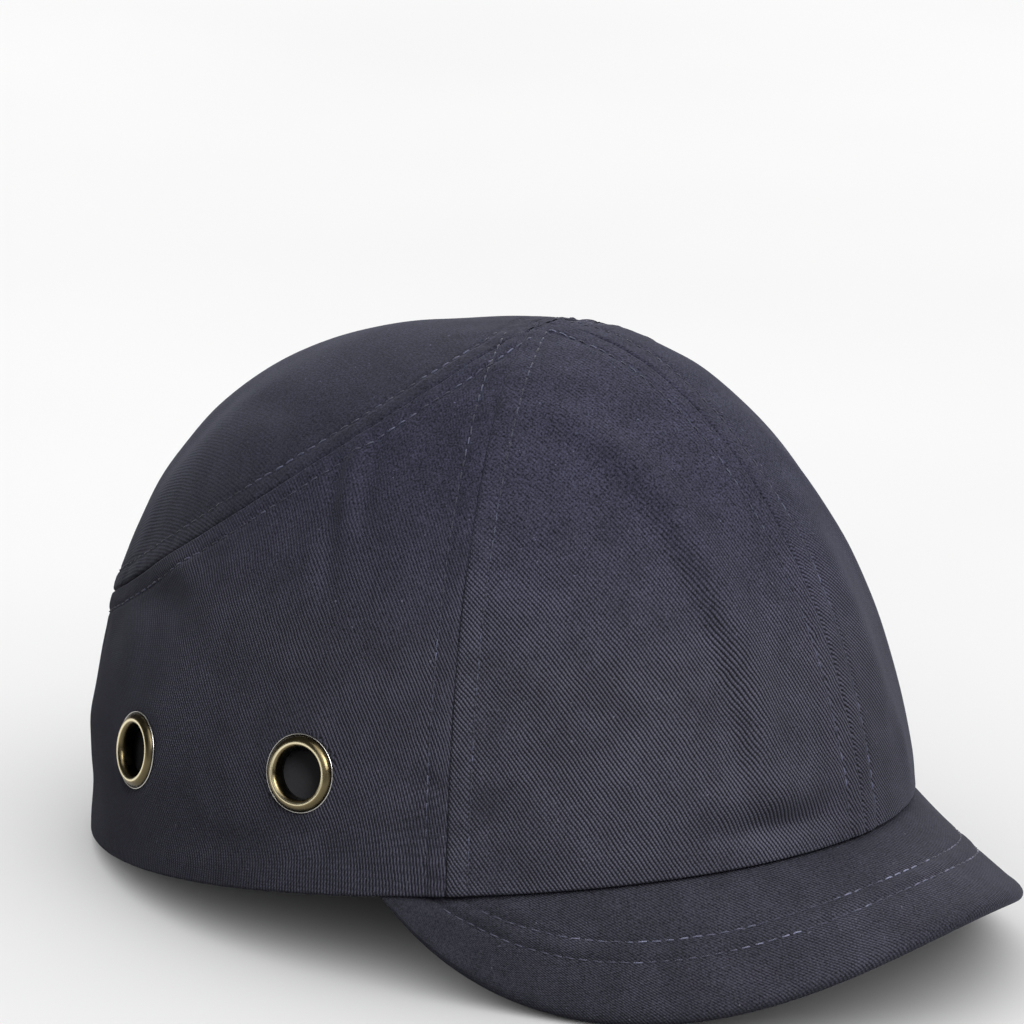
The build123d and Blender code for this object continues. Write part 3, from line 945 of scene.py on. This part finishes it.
def stitches(name, paths, trees, centre, seed, body="cap", step=3.2, length=2.6, side=1, yarn=thread):
    """Rows of raised stitches whose ends sink into the fabric, with a step and length in mm."""
    draw = random.Random(seed)
    around = 6
    shape = ((-0.5, -0.32, 0.7), (-0.36, 0.02, 1), (0, 0.16, 1.05), (0.36, 0.02, 1), (0.5, -0.32, 0.7))
    turns = np.linspace(0, 2 * math.pi, around, endpoint=False)
    points, faces = [], []
    for path in paths:
        total = lengths(path)[-1]
        for number in range(int(total / step)):
            middle = (number + 0.5) * step + draw.uniform(-0.2, 0.2)
            half = length / 2 * draw.uniform(0.84, 1.06)
            ends = along(path, np.array([middle - half, middle, middle + half]) / total)
            seats = [nearest_surface(end, trees, centre, side) for end in ends]
            outward = seats[1][1]
            forward = unit(seats[2][0] - seats[0][0])
            sideways = unit(np.cross(outward, forward))
            slant = draw.uniform(-0.12, 0.12)
            first = len(points)
            for place_along, height, size in shape:
                share = place_along + 0.5
                chord = seats[0][0] * (1 - share) + seats[2][0] * share
                bow = (seats[1][0] - (seats[0][0] + seats[2][0]) / 2) * (1 - (2 * share - 1) ** 2)
                core = chord + bow + outward * height + sideways * slant * place_along
                for turn in turns:
                    ring = sideways * math.cos(turn) + outward * math.sin(turn)
                    points.append(core + ring * stitch_radius * size)
            for ring in range(len(shape) - 1):
                for k in range(around):
                    here = first + ring * around
                    there = here + around
                    faces.append((here + k, here + (k + 1) % around, there + (k + 1) % around, there + k))
            end = first + (len(shape) - 1) * around
            faces.append(tuple(range(first, first + around)))
            faces.append(tuple(range(end, end + around)))
    publish(name, np.array(points), faces, yarn, body, merge=1e-7)


def beside(curve, distance, start=0.0, stop=1.0):
    """A line on the crown at a distance to one side of a curve, along part of its length."""
    line = along(curve, np.linspace(start, stop, 160))
    forward = unit(np.gradient(line, axis=0))
    chart = to_chart(line)
    sideways = unit(np.cross(chart_normal(chart), forward))
    return from_chart(to_chart(line + sideways * distance))


crown_inside = np.array([0, 0, 40.0])
for hand, side in hands:
    rows = [
        beside(side_seam, seam_row, 0.05, 0.985), beside(side_seam, -seam_row, 0.06, 0.985),
        beside(back_seam, seam_row, 0.05, 0.995), beside(back_seam, -seam_row, 0.04, 0.995),
        beside(front_seam, seam_row if side > 0 else -seam_row, 0.05, 0.985),
    ]
    if side < 0:
        rows = [mirrored(row) for row in rows[:4]] + [rows[4]]
    stitches(f"crown_topstitching_{hand}", rows, crown_trees, crown_inside, 21 + side, yarn=crown_thread)
right_arch_row = arch_line(arch_row)
arch_rows = [right_arch_row, mirrored(right_arch_row)]
stitches("rear_arch_stitching", arch_rows, crown_trees, crown_inside, 25, yarn=crown_thread)


# ---- Peak ----

peak_rows = (15.0, 20.2)  # rows of topstitching, by their distance from the peak's edge
peak_tuck = 1.5  # how far the covers reach in under the crown's hem
cover_thick = 0.9


def peak_frame(angle):
    """Origin, outward and upward directions of the peak's section at each angle."""
    share = np.minimum(1, np.abs(angle) / peak_end / peak_side_share)
    slope = np.radians(peak_slope + (peak_side_slope - peak_slope) * (1 - np.cos(math.pi * share)) / 2)
    fan = np.radians(angle) * peak_fan
    outward = np.stack([np.cos(slope) * np.cos(fan), -np.cos(slope) * np.sin(fan), -np.sin(slope)], -1)
    chord = crown_point(angle + 0.5, 0, peak_inset) - crown_point(angle - 0.5, 0, peak_inset)
    up = unit(np.cross(chord, outward))
    return crown_point(angle, 0, peak_inset) - (0, 0, peak_drop), outward, up


def peak_reach(angle):
    return peak_depth * (1 - (np.abs(angle) / peak_end) ** peak_squareness) ** (1 / peak_closing)


def peak_relief(from_edge, run, seed):
    rise = 0.12 * wave(run, seed, (31, 47, 70)) * smooth(from_edge, 2, 9)
    for number, row in enumerate(peak_rows):
        rise = rise - 0.34 * np.exp(-(((from_edge - row) / 0.8) ** 2))
        near = np.exp(-(((from_edge - row) / 3.0) ** 2))
        rise += 0.09 * near * wave(run, seed + number + 1, (5.7, 8.3, 13))
    rise += 0.22 * np.exp(-(((from_edge - sum(peak_rows) / 2) / 1.6) ** 2))
    rise += 0.2 * np.exp(-(((from_edge - 3.6) / 1.5) ** 2))
    return rise


def peak_cover(name, node, upper, seed):
    """One cover of the peak: the upper one rolls over the edge and meets the lower one below it."""
    angle = peak_end * np.sin(math.pi / 2 * np.linspace(-0.985, 0.985, 221))
    reach = peak_reach(angle)
    origin, outward, up = peak_frame(angle)
    nose = np.minimum(peak_thick / 2, 0.4 * reach + 0.3)
    run = lengths(origin)
    share = np.linspace(0, 1, 66)
    turn = np.radians(np.linspace(90, -62, 13) if upper else np.linspace(-90, -66, 4))
    columns = []
    for depth in (0.0, cover_thick):
        flat_x = -peak_tuck + share[:, None] * (reach - nose + peak_tuck)
        rise = peak_relief(reach - flat_x, run, seed)
        rise += 0.45 * np.sin(math.pi * np.clip(flat_x / np.maximum(1, reach), 0, 1))
        rise -= 0.6 * np.exp(-((flat_x / 2.2) ** 2)) * upper
        rise *= smooth(reach, 3, 16)
        skin = depth * np.minimum(1, nose / (peak_thick / 2))
        if upper:
            flat_y = rise - skin
            edge_x = reach - nose + (nose - skin) * np.cos(turn[1:, None])
            edge_y = -nose + (nose - skin) * np.sin(turn[1:, None])
        else:
            flat_y = -2 * nose - rise * 0.6 + skin
            edge_x = reach - nose + (nose - 0.25 - skin) * np.cos(turn[1:, None])
            edge_y = -nose + (nose - 0.12 - skin) * np.sin(turn[1:, None])
        x = np.concatenate([flat_x, edge_x])
        y = np.concatenate([flat_y, edge_y])
        columns.append(origin + x[..., None] * outward + y[..., None] * up)
    outer, inner = columns
    rows, count = outer.shape[:2]
    cloth = unrolled(outer, count // 2, 118 if upper else 60).reshape(-1, 2)
    points = np.concatenate([outer.reshape(-1, 3), inner.reshape(-1, 3)])
    faces = sheet_faces(rows, count)
    publish(name, points, faces, peak_twill, stands_for=[node], uv=cloth)
    return face_tree(points, faces[: (rows - 1) * (count - 1)])


def peak_row(from_edge, below=False):
    angle = np.linspace(-peak_end, peak_end, 400)[1:-1]
    reach = peak_reach(angle)
    angle = angle[reach > from_edge + 1.2]
    reach = peak_reach(angle)
    origin, outward, up = peak_frame(angle)
    depth = -peak_thick - 0.3 if below else 0.6
    return origin + (reach - from_edge)[:, None] * outward + depth * up


upper_tree = peak_cover("peak_top_cloth", "peak_top_cover", True, 41)
lower_tree = peak_cover("peak_under_cloth", "peak_under_cover", False, 47)
upper_rows = [peak_row(row) for row in peak_rows]
lower_rows = [peak_row(row, below=True) for row in peak_rows]
stitches("peak_topstitching", upper_rows, [upper_tree], np.array([60, 0, -60.0]), 31)
stitches("peak_under_stitching", lower_rows, [lower_tree], np.array([150, 0, 300.0]), 33)


# ---- Eyelets and washers ----


def brass_material():
    """Antique brass: polished on its crest, olive brown on its slopes, pale along its lip, and painted
    near black down its hole's inner wall as shade.
    """
    graph = Graph("antique_brass")
    shares = graph.node("SeparateXYZ", {0: graph.node("UVMap", uv_map="weave").outputs[0]}).outputs
    spot = graph.position()
    patina = graph.noise(spot, 420, 4)
    polish_and_shade = graph.scaled(patina, 0.16, graph.math("ADD", shares[1], -0.08))
    # The near-black low end of this ramp is painted shade inside the hole; its bright top end is the
    # polished crest.
    tone = graph.ramp(
        polish_and_shade, (0.0, (0.010, 0.008, 0.005)), (0.3, (0.105, 0.084, 0.045)), (0.6, (0.23, 0.185, 0.10)),
        (1.0, (0.93, 0.83, 0.56)),
    )
    colour = graph.mix(shares[0], tone, (0.60, 0.58, 0.54))
    rough = graph.scaled(patina, 0.3, 0.14)
    return graph.finish(colour, graph.noise(spot, 900, 3), 3e-5, 0.25, rough, metallic=1.0)


brass = brass_material()
# Section of a ring: radius, height, polish (its low values down the hole's inner wall are painted shade)
# and paleness
ring_profile = (
    (6.25, -2.3, 0.04, 0), (6.25, -1.4, 0.05, 0), (6.25, -0.5, 0.1, 0), (6.27, 0.2, 0.16, 0),
    (6.36, 0.7, 0.24, 0), (6.56, 1.12, 0.36, 0), (6.86, 1.42, 0.5, 0), (7.1, 1.54, 0.95, 0),
    (7.3, 1.59, 1.0, 0), (7.5, 1.59, 1.0, 0), (7.72, 1.55, 0.6, 0), (8.0, 1.45, 0.42, 0),
    (8.36, 1.2, 0.36, 0), (8.66, 0.88, 0.34, 0), (8.86, 0.55, 0.25, 0), (8.96, 0.22, 0.0, 0),
    (9.04, 0.12, 0.0, 0), (9.14, 0.16, 0.0, 0.2), (9.22, 0.32, 0.3, 0.9), (9.34, 0.4, 0.3, 1),
    (9.46, 0.33, 0.3, 1), (9.5, 0.18, 0.2, 0.4), (9.42, 0.02, 0.1, 0), (9.1, -0.02, 0.1, 0),
    (7.9, -0.02, 0.1, 0), (6.8, -0.02, 0.1, 0), (6.65, -0.2, 0.1, 0), (6.65, -1.3, 0.1, 0),
    (6.65, -2.3, 0.1, 0),
)
washer_profile = (
    (6.95, -1.6, 0.4, 0), (7.05, -1.5, 0.5, 0), (8.1, -1.47, 0.5, 0), (9.1, -1.5, 0.5, 0),
    (9.2, -1.6, 0.4, 0), (9.2, -1.9, 0.4, 0), (9.1, -2.0, 0.5, 0), (8.1, -2.03, 0.5, 0),
    (7.05, -2.0, 0.5, 0), (6.95, -1.9, 0.4, 0),
)


def lathe(name, profile, angle, node, around=96):
    """A ring turned about an eyelet's axis, with its paleness, and its polish and painted shade, in its
    uv coordinates.
    """
    centre, axis, over, up = eyelet_frame(angle)
    points, uv = [], []
    for turn in np.linspace(0, 2 * math.pi, around, endpoint=False):
        ray = over * math.cos(turn) + up * math.sin(turn)
        points += [centre + ray * reach + axis * height for reach, height, _, _ in profile]
        uv += [(paleness, polish_and_shade) for _, _, polish_and_shade, paleness in profile]
    faces = tube_faces(around, len(profile), closed=True)
    publish(name, np.array(points), faces, brass, stands_for=[node], uv=uv)


for spot_name, angle in eyelet_angles.items():
    for hand, side in hands:
        lathe(f"eyelet_ring_{spot_name}_{hand}", ring_profile, side * angle, f"eyelet_{spot_name}_{hand}")
        node = f"eyelet_washer_{spot_name}_{hand}"
        lathe(f"washer_ring_{spot_name}_{hand}", washer_profile, side * angle, node, around=64)


# ---- Other materials ----


def plain_weave(name, dark, light, across_pitch, along_pitch, roughness=0.8):
    """Over-and-under weave, from the weave coordinates in mm."""
    graph = Graph(name)
    across, lengthwise, spot = graph.cloth()
    warp = graph.math("DIVIDE", across, across_pitch)
    weft = graph.math("DIVIDE", lengthwise, along_pitch)
    first = graph.math("SINE", graph.times(warp, math.pi))
    second = graph.math("SINE", graph.times(weft, math.pi))
    lattice = graph.scaled(graph.times(first, second), 0.5, 0.5)
    grain = graph.noise(spot, 1400, 3)
    height = graph.scaled(grain, 0.4, lattice)
    colour = graph.mix(graph.scaled(grain, 0.5, graph.times(lattice, 0.5)), dark, light)
    tone_patches = graph.ramp(graph.noise(spot, 35, 3), (0.3, 0.82), (0.7, 1.15))
    colour = graph.mix(1.0, colour, tone_patches, "MULTIPLY")
    return graph.finish(colour, height, 1.8e-4, 0.9, roughness, sheen_weight=0.2, specular_ior_level=0.25)


def webbing_material():
    """Polyester webbing: chevron ribs across the strap, on fine cords that run along it."""
    graph = Graph("navy_webbing")
    lengthwise, across, spot = graph.cloth()
    chevron = graph.math("ABSOLUTE", graph.math("PINGPONG", across, 2.5))
    ribs = graph.math("ADD", graph.math("DIVIDE", lengthwise, 1.25), graph.times(chevron, 0.55))
    rib = graph.ripple(ribs)
    cords = graph.ripple(graph.math("DIVIDE", across, 1.25))
    height = graph.scaled(cords, 0.45, rib)
    grain = graph.noise(spot, 1600, 2)
    tone = graph.scaled(height, 0.45, graph.times(grain, 0.3))
    colour = graph.mix(tone, (0.012, 0.013, 0.024), (0.055, 0.057, 0.092))
    return graph.finish(colour, height, 2.2e-4, 0.9, 0.5, sheen_weight=0.12, specular_ior_level=0.4)


def speckled(name, dark, light, scale, distance, roughness, **fixed):
    """Moulded or foamed surface with a fine even texture and broad colour variation."""
    graph = Graph(name)
    spot = graph.position()
    grain = graph.noise(spot, scale, 4)
    colour = graph.mix(graph.noise(spot, scale / 30, 3), dark, light)
    rough = graph.scaled(graph.noise(spot, scale / 8, 2), 0.15, roughness - 0.07)
    return graph.finish(colour, grain, distance, 0.7, rough, **fixed)


def pile_material(name, dark, light, scale, distance):
    """Hook or loop pile: a mat of tiny filaments."""
    graph = Graph(name)
    spot = graph.position()
    cells = graph.node("TexVoronoi", {"Vector": spot, "Scale": scale}).outputs["Distance"]
    tangle = graph.noise(spot, scale * 1.7, 4)
    height = graph.math("ADD", cells, tangle)
    colour = graph.mix(graph.times(height, 0.7), dark, light)
    return graph.finish(colour, height, distance, 1.0, 0.7, sheen_weight=0.35, specular_ior_level=0.3)


shell_plastic = speckled("black_abs", (0.018, 0.018, 0.021), (0.034, 0.034, 0.038), 1800, 5e-5, 0.48)
board_plastic = speckled("natural_board", (0.72, 0.72, 0.69), (0.82, 0.82, 0.79), 700, 4e-5, 0.5)
loop_plastic = speckled("black_acetal", (0.012, 0.012, 0.014), (0.026, 0.026, 0.029), 2600, 2e-5, 0.34)
foam = speckled(
    "black_foam", (0.012, 0.012, 0.015), (0.036, 0.036, 0.041), 1100, 2.5e-4, 0.92, sheen_weight=0.1,
)
band_cotton = plain_weave(
    "sweatband_cotton", (0.018, 0.019, 0.030), (0.062, 0.063, 0.090), 0.55, 0.55, 0.9,
)
tape_cotton = plain_weave("tape_cotton", (0.014, 0.015, 0.026), (0.058, 0.060, 0.092), 0.8, 0.5, 0.85)
label_satin = plain_weave("label_satin", (0.60, 0.60, 0.57), (0.84, 0.84, 0.81), 0.3, 0.45, 0.45)
webbing = webbing_material()
loop_mat = pile_material("loop_pile", (0.006, 0.006, 0.010), (0.050, 0.051, 0.072), 1500, 4e-4)
hook_mat = pile_material("hook_pile", (0.004, 0.004, 0.006), (0.035, 0.035, 0.042), 900, 5e-4)

cad_looks = {"bump_shell": shell_plastic, "peak_board": board_plastic, "slide_loop": loop_plastic}
for node_name, material in cad_looks.items():
    for material_slot in frame["nodes"][node_name].material_slots:
        material_slot.material = material


# ---- Tapes and binding inside the crown ----

tape_inset = 1.1
tape_thick = 0.6
tape_half = 6.5


def tape(name, chart, outer_inset, inner_inset, ripple, seed, node, side=1):
    """A thin cotton tape that lies inside the crown, between two insets."""
    rows, columns = chart.shape[:2]
    flat = chart.reshape(-1, 2)
    normal = chart_normal(flat)
    outer, inner = from_chart(flat, outer_inset), from_chart(flat, inner_inset)
    cockle = ripple * broad_relief(outer, seed, 1.0, 9.0)[:, None]
    points = np.concatenate([outer, inner + normal * cockle])
    cloth = unrolled(outer.reshape(rows, columns, 3), columns // 2, 90).reshape(-1, 2)
    if side < 0:
        points = mirrored(points)
    faces = sheet_faces(rows, columns)
    publish(name, points, faces, tape_cotton, stands_for=[node], uv=cloth)


def tape_chart(curve, low, high):
    """Chart of a strip along a seam between two heights."""
    line = evenly(curve, 1200)
    line = line[(line[:, 2] > low) & (line[:, 2] < high)]
    line = evenly(line, int(lengths(line)[-1] / 1.6))
    forward = unit(np.gradient(line, axis=0))
    sideways = unit(np.cross(chart_normal(to_chart(line)), forward))
    offsets = np.array([-1, -0.97, -0.86, -0.6, -0.3, 0, 0.3, 0.6, 0.86, 0.97, 1]) * tape_half
    return to_chart(line[:, None] + sideways[:, None] * offsets[None, :, None])


def add_tapes():
    low, high = 4.0, 110.0
    inner_inset = tape_inset + tape_thick
    for hand, side in hands:
        strips = ((f"seam_tape_{hand}", side_seam, 52), ("seam_tape_back", back_seam, 54))
        for name, curve, seed in strips:
            piece_name = f"{name}_strip" if hand in name else f"{name}_strip_{hand}"
            chart = tape_chart(curve, low, high)
            tape(piece_name, chart, tape_inset, inner_inset, 0.12, seed, name, side)
    chart = tape_chart(front_seam, low, high)
    tape("seam_tape_front_strip", chart, tape_inset, inner_inset, 0.12, 51, "seam_tape_front")


def add_binding():
    """The strip that lines the rear opening, on the inside of the crown along its edge."""
    margins = np.array([0.05, 0.3, 0.8, 1.6, 3, 4.5, 6, 7.2, 7.8, 8.0])
    right = np.stack([to_chart(arch_line(margin, 150)) for margin in margins], 1)
    left = right * (1, -1)
    chart = np.concatenate([right, left[-2::-1]])
    tape("rear_arch_strip", chart, 1.1, 1.8, 0.1, 57, "rear_arch_binding")


add_tapes()
add_binding()


# ---- Foam pads ----


foam_voxel = 0.0012  # in metres
foam_swell = 0.0006  # furthest that a point of a pad moves in the simulation, in metres


def finished_mesh(piece):
    """Applies a piece's modifiers to its mesh."""
    evaluated = piece.evaluated_get(bpy.context.evaluated_depsgraph_get())
    mesh = bpy.data.meshes.new_from_object(evaluated)
    piece.modifiers.clear()
    piece.data = mesh


def foam_pad(node):
    """A die-cut foam pad: remeshed, swollen a little by a cloth simulation, with its edges rounded."""
    source = frame["nodes"][node]
    mesh = source.data.copy()
    mesh.name = f"{node}_foam"
    piece = new_object(f"{node}_foam", mesh)
    remesh = piece.modifiers.new("remesh", "REMESH")
    remesh.mode = "VOXEL"
    remesh.voxel_size = foam_voxel
    relax = piece.modifiers.new("relax", "SMOOTH")
    relax.factor = 0.5
    relax.iterations = 14
    finished_mesh(piece)
    rest = np.array([vertex.co for vertex in piece.data.vertices])
    cloth = piece.modifiers.new("swell", "CLOTH")
    cloth.settings.use_pressure = True
    cloth.settings.uniform_pressure_force = 4
    cloth.settings.effector_weights.gravity = 0
    cloth.settings.tension_stiffness = 40
    scene = bpy.context.scene
    for step in range(1, 9):
        scene.frame_set(step)
        bpy.context.view_layer.update()
    finished_mesh(piece)
    scene.frame_set(1)
    swollen = np.array([vertex.co for vertex in piece.data.vertices])
    shift = swollen - rest
    reach = np.linalg.norm(shift, axis=1, keepdims=True)
    shift *= np.minimum(1, foam_swell / np.maximum(1e-9, reach))
    piece.data.vertices.foreach_set("co", (rest + shift).ravel())
    piece.data.materials.clear()
    piece.data.materials.append(foam)
    piece.data.shade_smooth()
    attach(piece, "cap")
    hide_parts(node)


for pad_node in ("crown_pad", "front_pad", "rear_pad", "side_pad_right", "side_pad_left"):
    foam_pad(pad_node)


# ---- Sweatband ----

band_end = 144.0  # angle where the band stops, at the rear opening's side
band_top = 34.0
band_face = 5.9  # points of a section that lie further in than this are on the face that puffs out


def band(name, section, material, node, seed, puff):
    """Sweeps a closed section of (inset, height) points round the rim, open at the back."""
    section = rounded(section, 2, closed=True)
    angles = np.linspace(-band_end, band_end, 330)
    run = lengths(crown_point(angles, 20.0))
    rings, uv = [], []
    round_section = lengths(section)
    for angle, place_along in zip(angles, run):
        swell = puff * np.sin(math.pi * np.clip(section[:, 1] / band_top, 0, 1))
        sway = 0.5 * puff * wave(np.array([place_along]), seed, (23, 37, 61))
        inset = section[:, 0] + (section[:, 0] > band_face) * (swell + sway)
        rings.append(crown_point(angle, section[:, 1], inset))
        uv += [(place_along, distance) for distance in round_section]
    points = np.concatenate(rings)
    faces = tube_faces(len(angles), len(section))
    piece = publish(name, points, faces, material, stands_for=[node], uv=uv)
    return piece, face_tree(points, faces)


band_section = (
    (2.1, 0.7), (4.0, 0.7), (6.6, 0.7), (6.8, 3.0), (6.8, 12), (6.8, 22), (6.8, 31), (6.8, 33.9),
    (5.7, 33.9), (5.7, 31), (5.7, 22), (5.7, 12), (5.7, 3.6), (4.0, 3.5), (2.1, 3.5),
)
foam_section = ((4.2, 4.0), (5.5, 4.0), (5.5, 18), (5.5, 32.8), (4.2, 32.8), (4.2, 18))
sweatband, sweatband_tree = band(
    "sweatband_facing", band_section, band_cotton, "sweatband", 61, 0.25,
)
band_foam, _ = band("sweatband_foam_strip", foam_section, foam, "sweatband_foam", 61, 0.0)
band_angles = np.linspace(-band_end + 1, band_end - 1, 400)
band_rows = [crown_point(band_angles, height, 7.6) for height in (5.5, 31.0)]
stitches("sweatband_stitching", band_rows, [sweatband_tree], np.array([-10, 0, 18.0]), 63, side=-1)


def care_label():
    """Blank satin label, curling a little at its free end."""
    rows, columns = 15, 21
    x = -58 + np.linspace(-13, 13, columns)[None] + np.zeros((rows, 1))
    z = 18 + np.linspace(-9, 9, rows)[:, None] + np.zeros((1, columns))
    starts = np.stack([x, 0 * x, z], -1).reshape(-1, 3)
    directions = np.tile((0.0, 1.0, 0.0), (len(starts), 1))
    outer = cast(starts, directions, 7.25)
    inner = cast(starts, directions, 7.5)
    curl = 0.5 * (1 - smooth(z.ravel(), 9, 15))
    outer[:, 1] -= curl
    inner[:, 1] -= curl
    uv = np.stack([x.ravel(), z.ravel()], -1)
    faces = sheet_faces(rows, columns)
    points = np.concatenate([outer, inner])
    publish("care_label_blank", points, faces, label_satin, stands_for=["care_label"], uv=uv)


care_label()


# ---- Rear adjuster ----

arch_angle = 180 - math.degrees(math.asin(arch_half / (crown_width / 2)))
strap_low = crown_point(arch_angle, strap_mid - strap_height / 2, strap_inset)
strap_high = crown_point(arch_angle, strap_mid + strap_height / 2, strap_inset)
rear_lean = math.atan2(strap_high[0] - strap_low[0], strap_height)
strap_origin = np.array([(strap_low[0] + strap_high[0]) / 2, 0, strap_mid])
strap_along = np.array([0.0, 1.0, 0.0])
strap_up = np.array([math.sin(rear_lean), 0, math.cos(rear_lean)])
strap_out = np.cross(strap_up, strap_along)


def strap_point(u, v, w=0.0):
    """Points in the adjuster's frame: along the strap to the wearer's left, outward, and up."""
    u, v, w = np.broadcast_arrays(np.asarray(u, float), v, w)
    across = np.multiply.outer(u, strap_along) + np.multiply.outer(v, strap_out)
    return strap_origin + across + np.multiply.outer(w, strap_up)


ribbon_trees = {}


def ribbon(name, path, width, thick, material, body, stands_for=(), corner=0.0, crown=0.0):
    """A flat strip along a path of (u, v) points, with soft edges, and rounded corners at its far end."""
    path = np.array(path, float)
    run = lengths(path)
    forward = unit(np.gradient(path, axis=0))
    sideways = np.stack([-forward[:, 1], forward[:, 0]], -1)
    half, rim = width / 2, thick / 2
    levels = np.concatenate([[-1.0], np.linspace(-1, 1, 15) * (1 - rim / half), [1.0]])
    points, uv = [], []
    for centre, normal, place_along in zip(path, sideways, run):
        left = run[-1] - place_along
        pinch = max(0.0, corner - left)
        reach = half - (corner - math.sqrt(max(0.0, corner**2 - pinch**2)))
        for face in (1, -1):
            for level in levels[::face]:
                near_edge = max(0.0, (abs(level) * half - half + rim) / rim)
                swell = rim * math.sqrt(max(0.02, 1 - near_edge**2)) + crown * (1 - level**2)
                u, v = centre + normal * face * swell
                points.append(strap_point(u, v, level * reach))
                uv.append((place_along, level * reach))
    faces = tube_faces(len(path), 2 * len(levels))
    ribbon_trees[name] = face_tree(points, faces)
    points = np.array(points)
    return publish(name, points, faces, material, body, stands_for, uv=uv, merge=1e-6)


def bend(centre, radius, start, end, count=20):
    turns = np.radians(np.linspace(start, end, count))
    return np.stack([centre[0] + radius * np.cos(turns), centre[1] + radius * np.sin(turns)], -1)


def refined(path):
    """A path with a point about every 0.7 mm."""
    path = np.array(path, float)
    return evenly(path, max(2, int(lengths(path)[-1] / 0.7)))


sewn_start = (-48.5, -9.5)
sewn_turn = (-33.0, -strap_thick / 2)
bend_radius = bar_out + strap_thick / 2
under = -strap_thick / 2
tail_level = 2 * bar_out + strap_thick / 2

run_path = refined(rounded([sewn_start, sewn_turn, (-22, under), (strap_bar - 0.4, under)], 3))
strap_run = ribbon(
    "adjuster_strap_webbing", run_path, strap_height, strap_thick, webbing, None,
)
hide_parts("adjuster_strap")
place(strap_point(-24.0, 0.0))
place(strap_point(strap_bar - 2, 0.0))
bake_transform(strap_run)

fold_path = bend((strap_bar, bar_out), bend_radius, -98, 90)
tail_path = np.vstack([fold_path, refined([(strap_bar - 0.6, tail_level), (tail_end, tail_level)])])
strap_tail = ribbon(
    "strap_tail_webbing", tail_path, strap_height, strap_thick, webbing, None, corner=6.0,
)
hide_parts("strap_tail")
place(strap_point(strap_bar, 0.2))
place(strap_point(strap_bar, 2 * bar_out))
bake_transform(strap_tail)

tab_base = [
    (-sewn_start[0], sewn_start[1]), (-sewn_turn[0], under), (tab_bar + 2, under), (tab_bar, under),
]
tab_return = [(tab_bar, tail_level), (28.6, tail_level), (30.9, 1.1), (32.2, 0.92), (34.2, 0.9)]
tab_path = np.vstack([
    refined(rounded(tab_base, 3))[:-1], bend((tab_bar, bar_out), bend_radius, 270, 90, 24),
    refined(rounded(tab_return, 2))[1:],
])
ribbon(
    "adjuster_tab_webbing", tab_path, strap_height, strap_thick, webbing, "cap",
    stands_for=["adjuster_tab"],
)

patch_low, patch_high = tail_end + 3.0, tail_end + 33.0
for pile, level, width, crown, material, body in (
    ("loop", 0.62, 17.6, 0.05, loop_mat, "cap"), ("hook", 2.36, 13.8, 0.0, hook_mat, "strap_tail"),
):
    pile_path = refined([(patch_low, level), (patch_high, level)])
    ribbon(
        f"{pile}_pile_patch", pile_path, width, 1.2, material, body,
        stands_for=[f"{pile}_patch"], crown=crown,
    )


def sewn_frame(name, ribbon_name, start, end, half, level, body, seed):
    """Stitches round a rectangle on a ribbon's outer face."""
    corners = [(start, -half), (end, -half), (end, half), (start, half), (start, -half)]
    rows = [
        strap_point(np.linspace(first[0], second[0], 9), level, np.linspace(first[1], second[1], 9))
        for first, second in zip(corners, corners[1:])
    ]
    inside = strap_point((start + end) / 2, level - 60.0, 0.0)
    stitches(name, rows, [ribbon_trees[ribbon_name]], inside, seed, body, 2.5, 2.0)


sewn_frame("tab_box_stitching", "adjuster_tab_webbing", 31.7, 33.5, 8.2, 2.0, "cap", 71)
sewn_frame("loop_pile_stitching", "loop_pile_patch", patch_low + 1, patch_high - 1, 7.8, 1.5, "cap", 73)

bpy.context.view_layer.update()
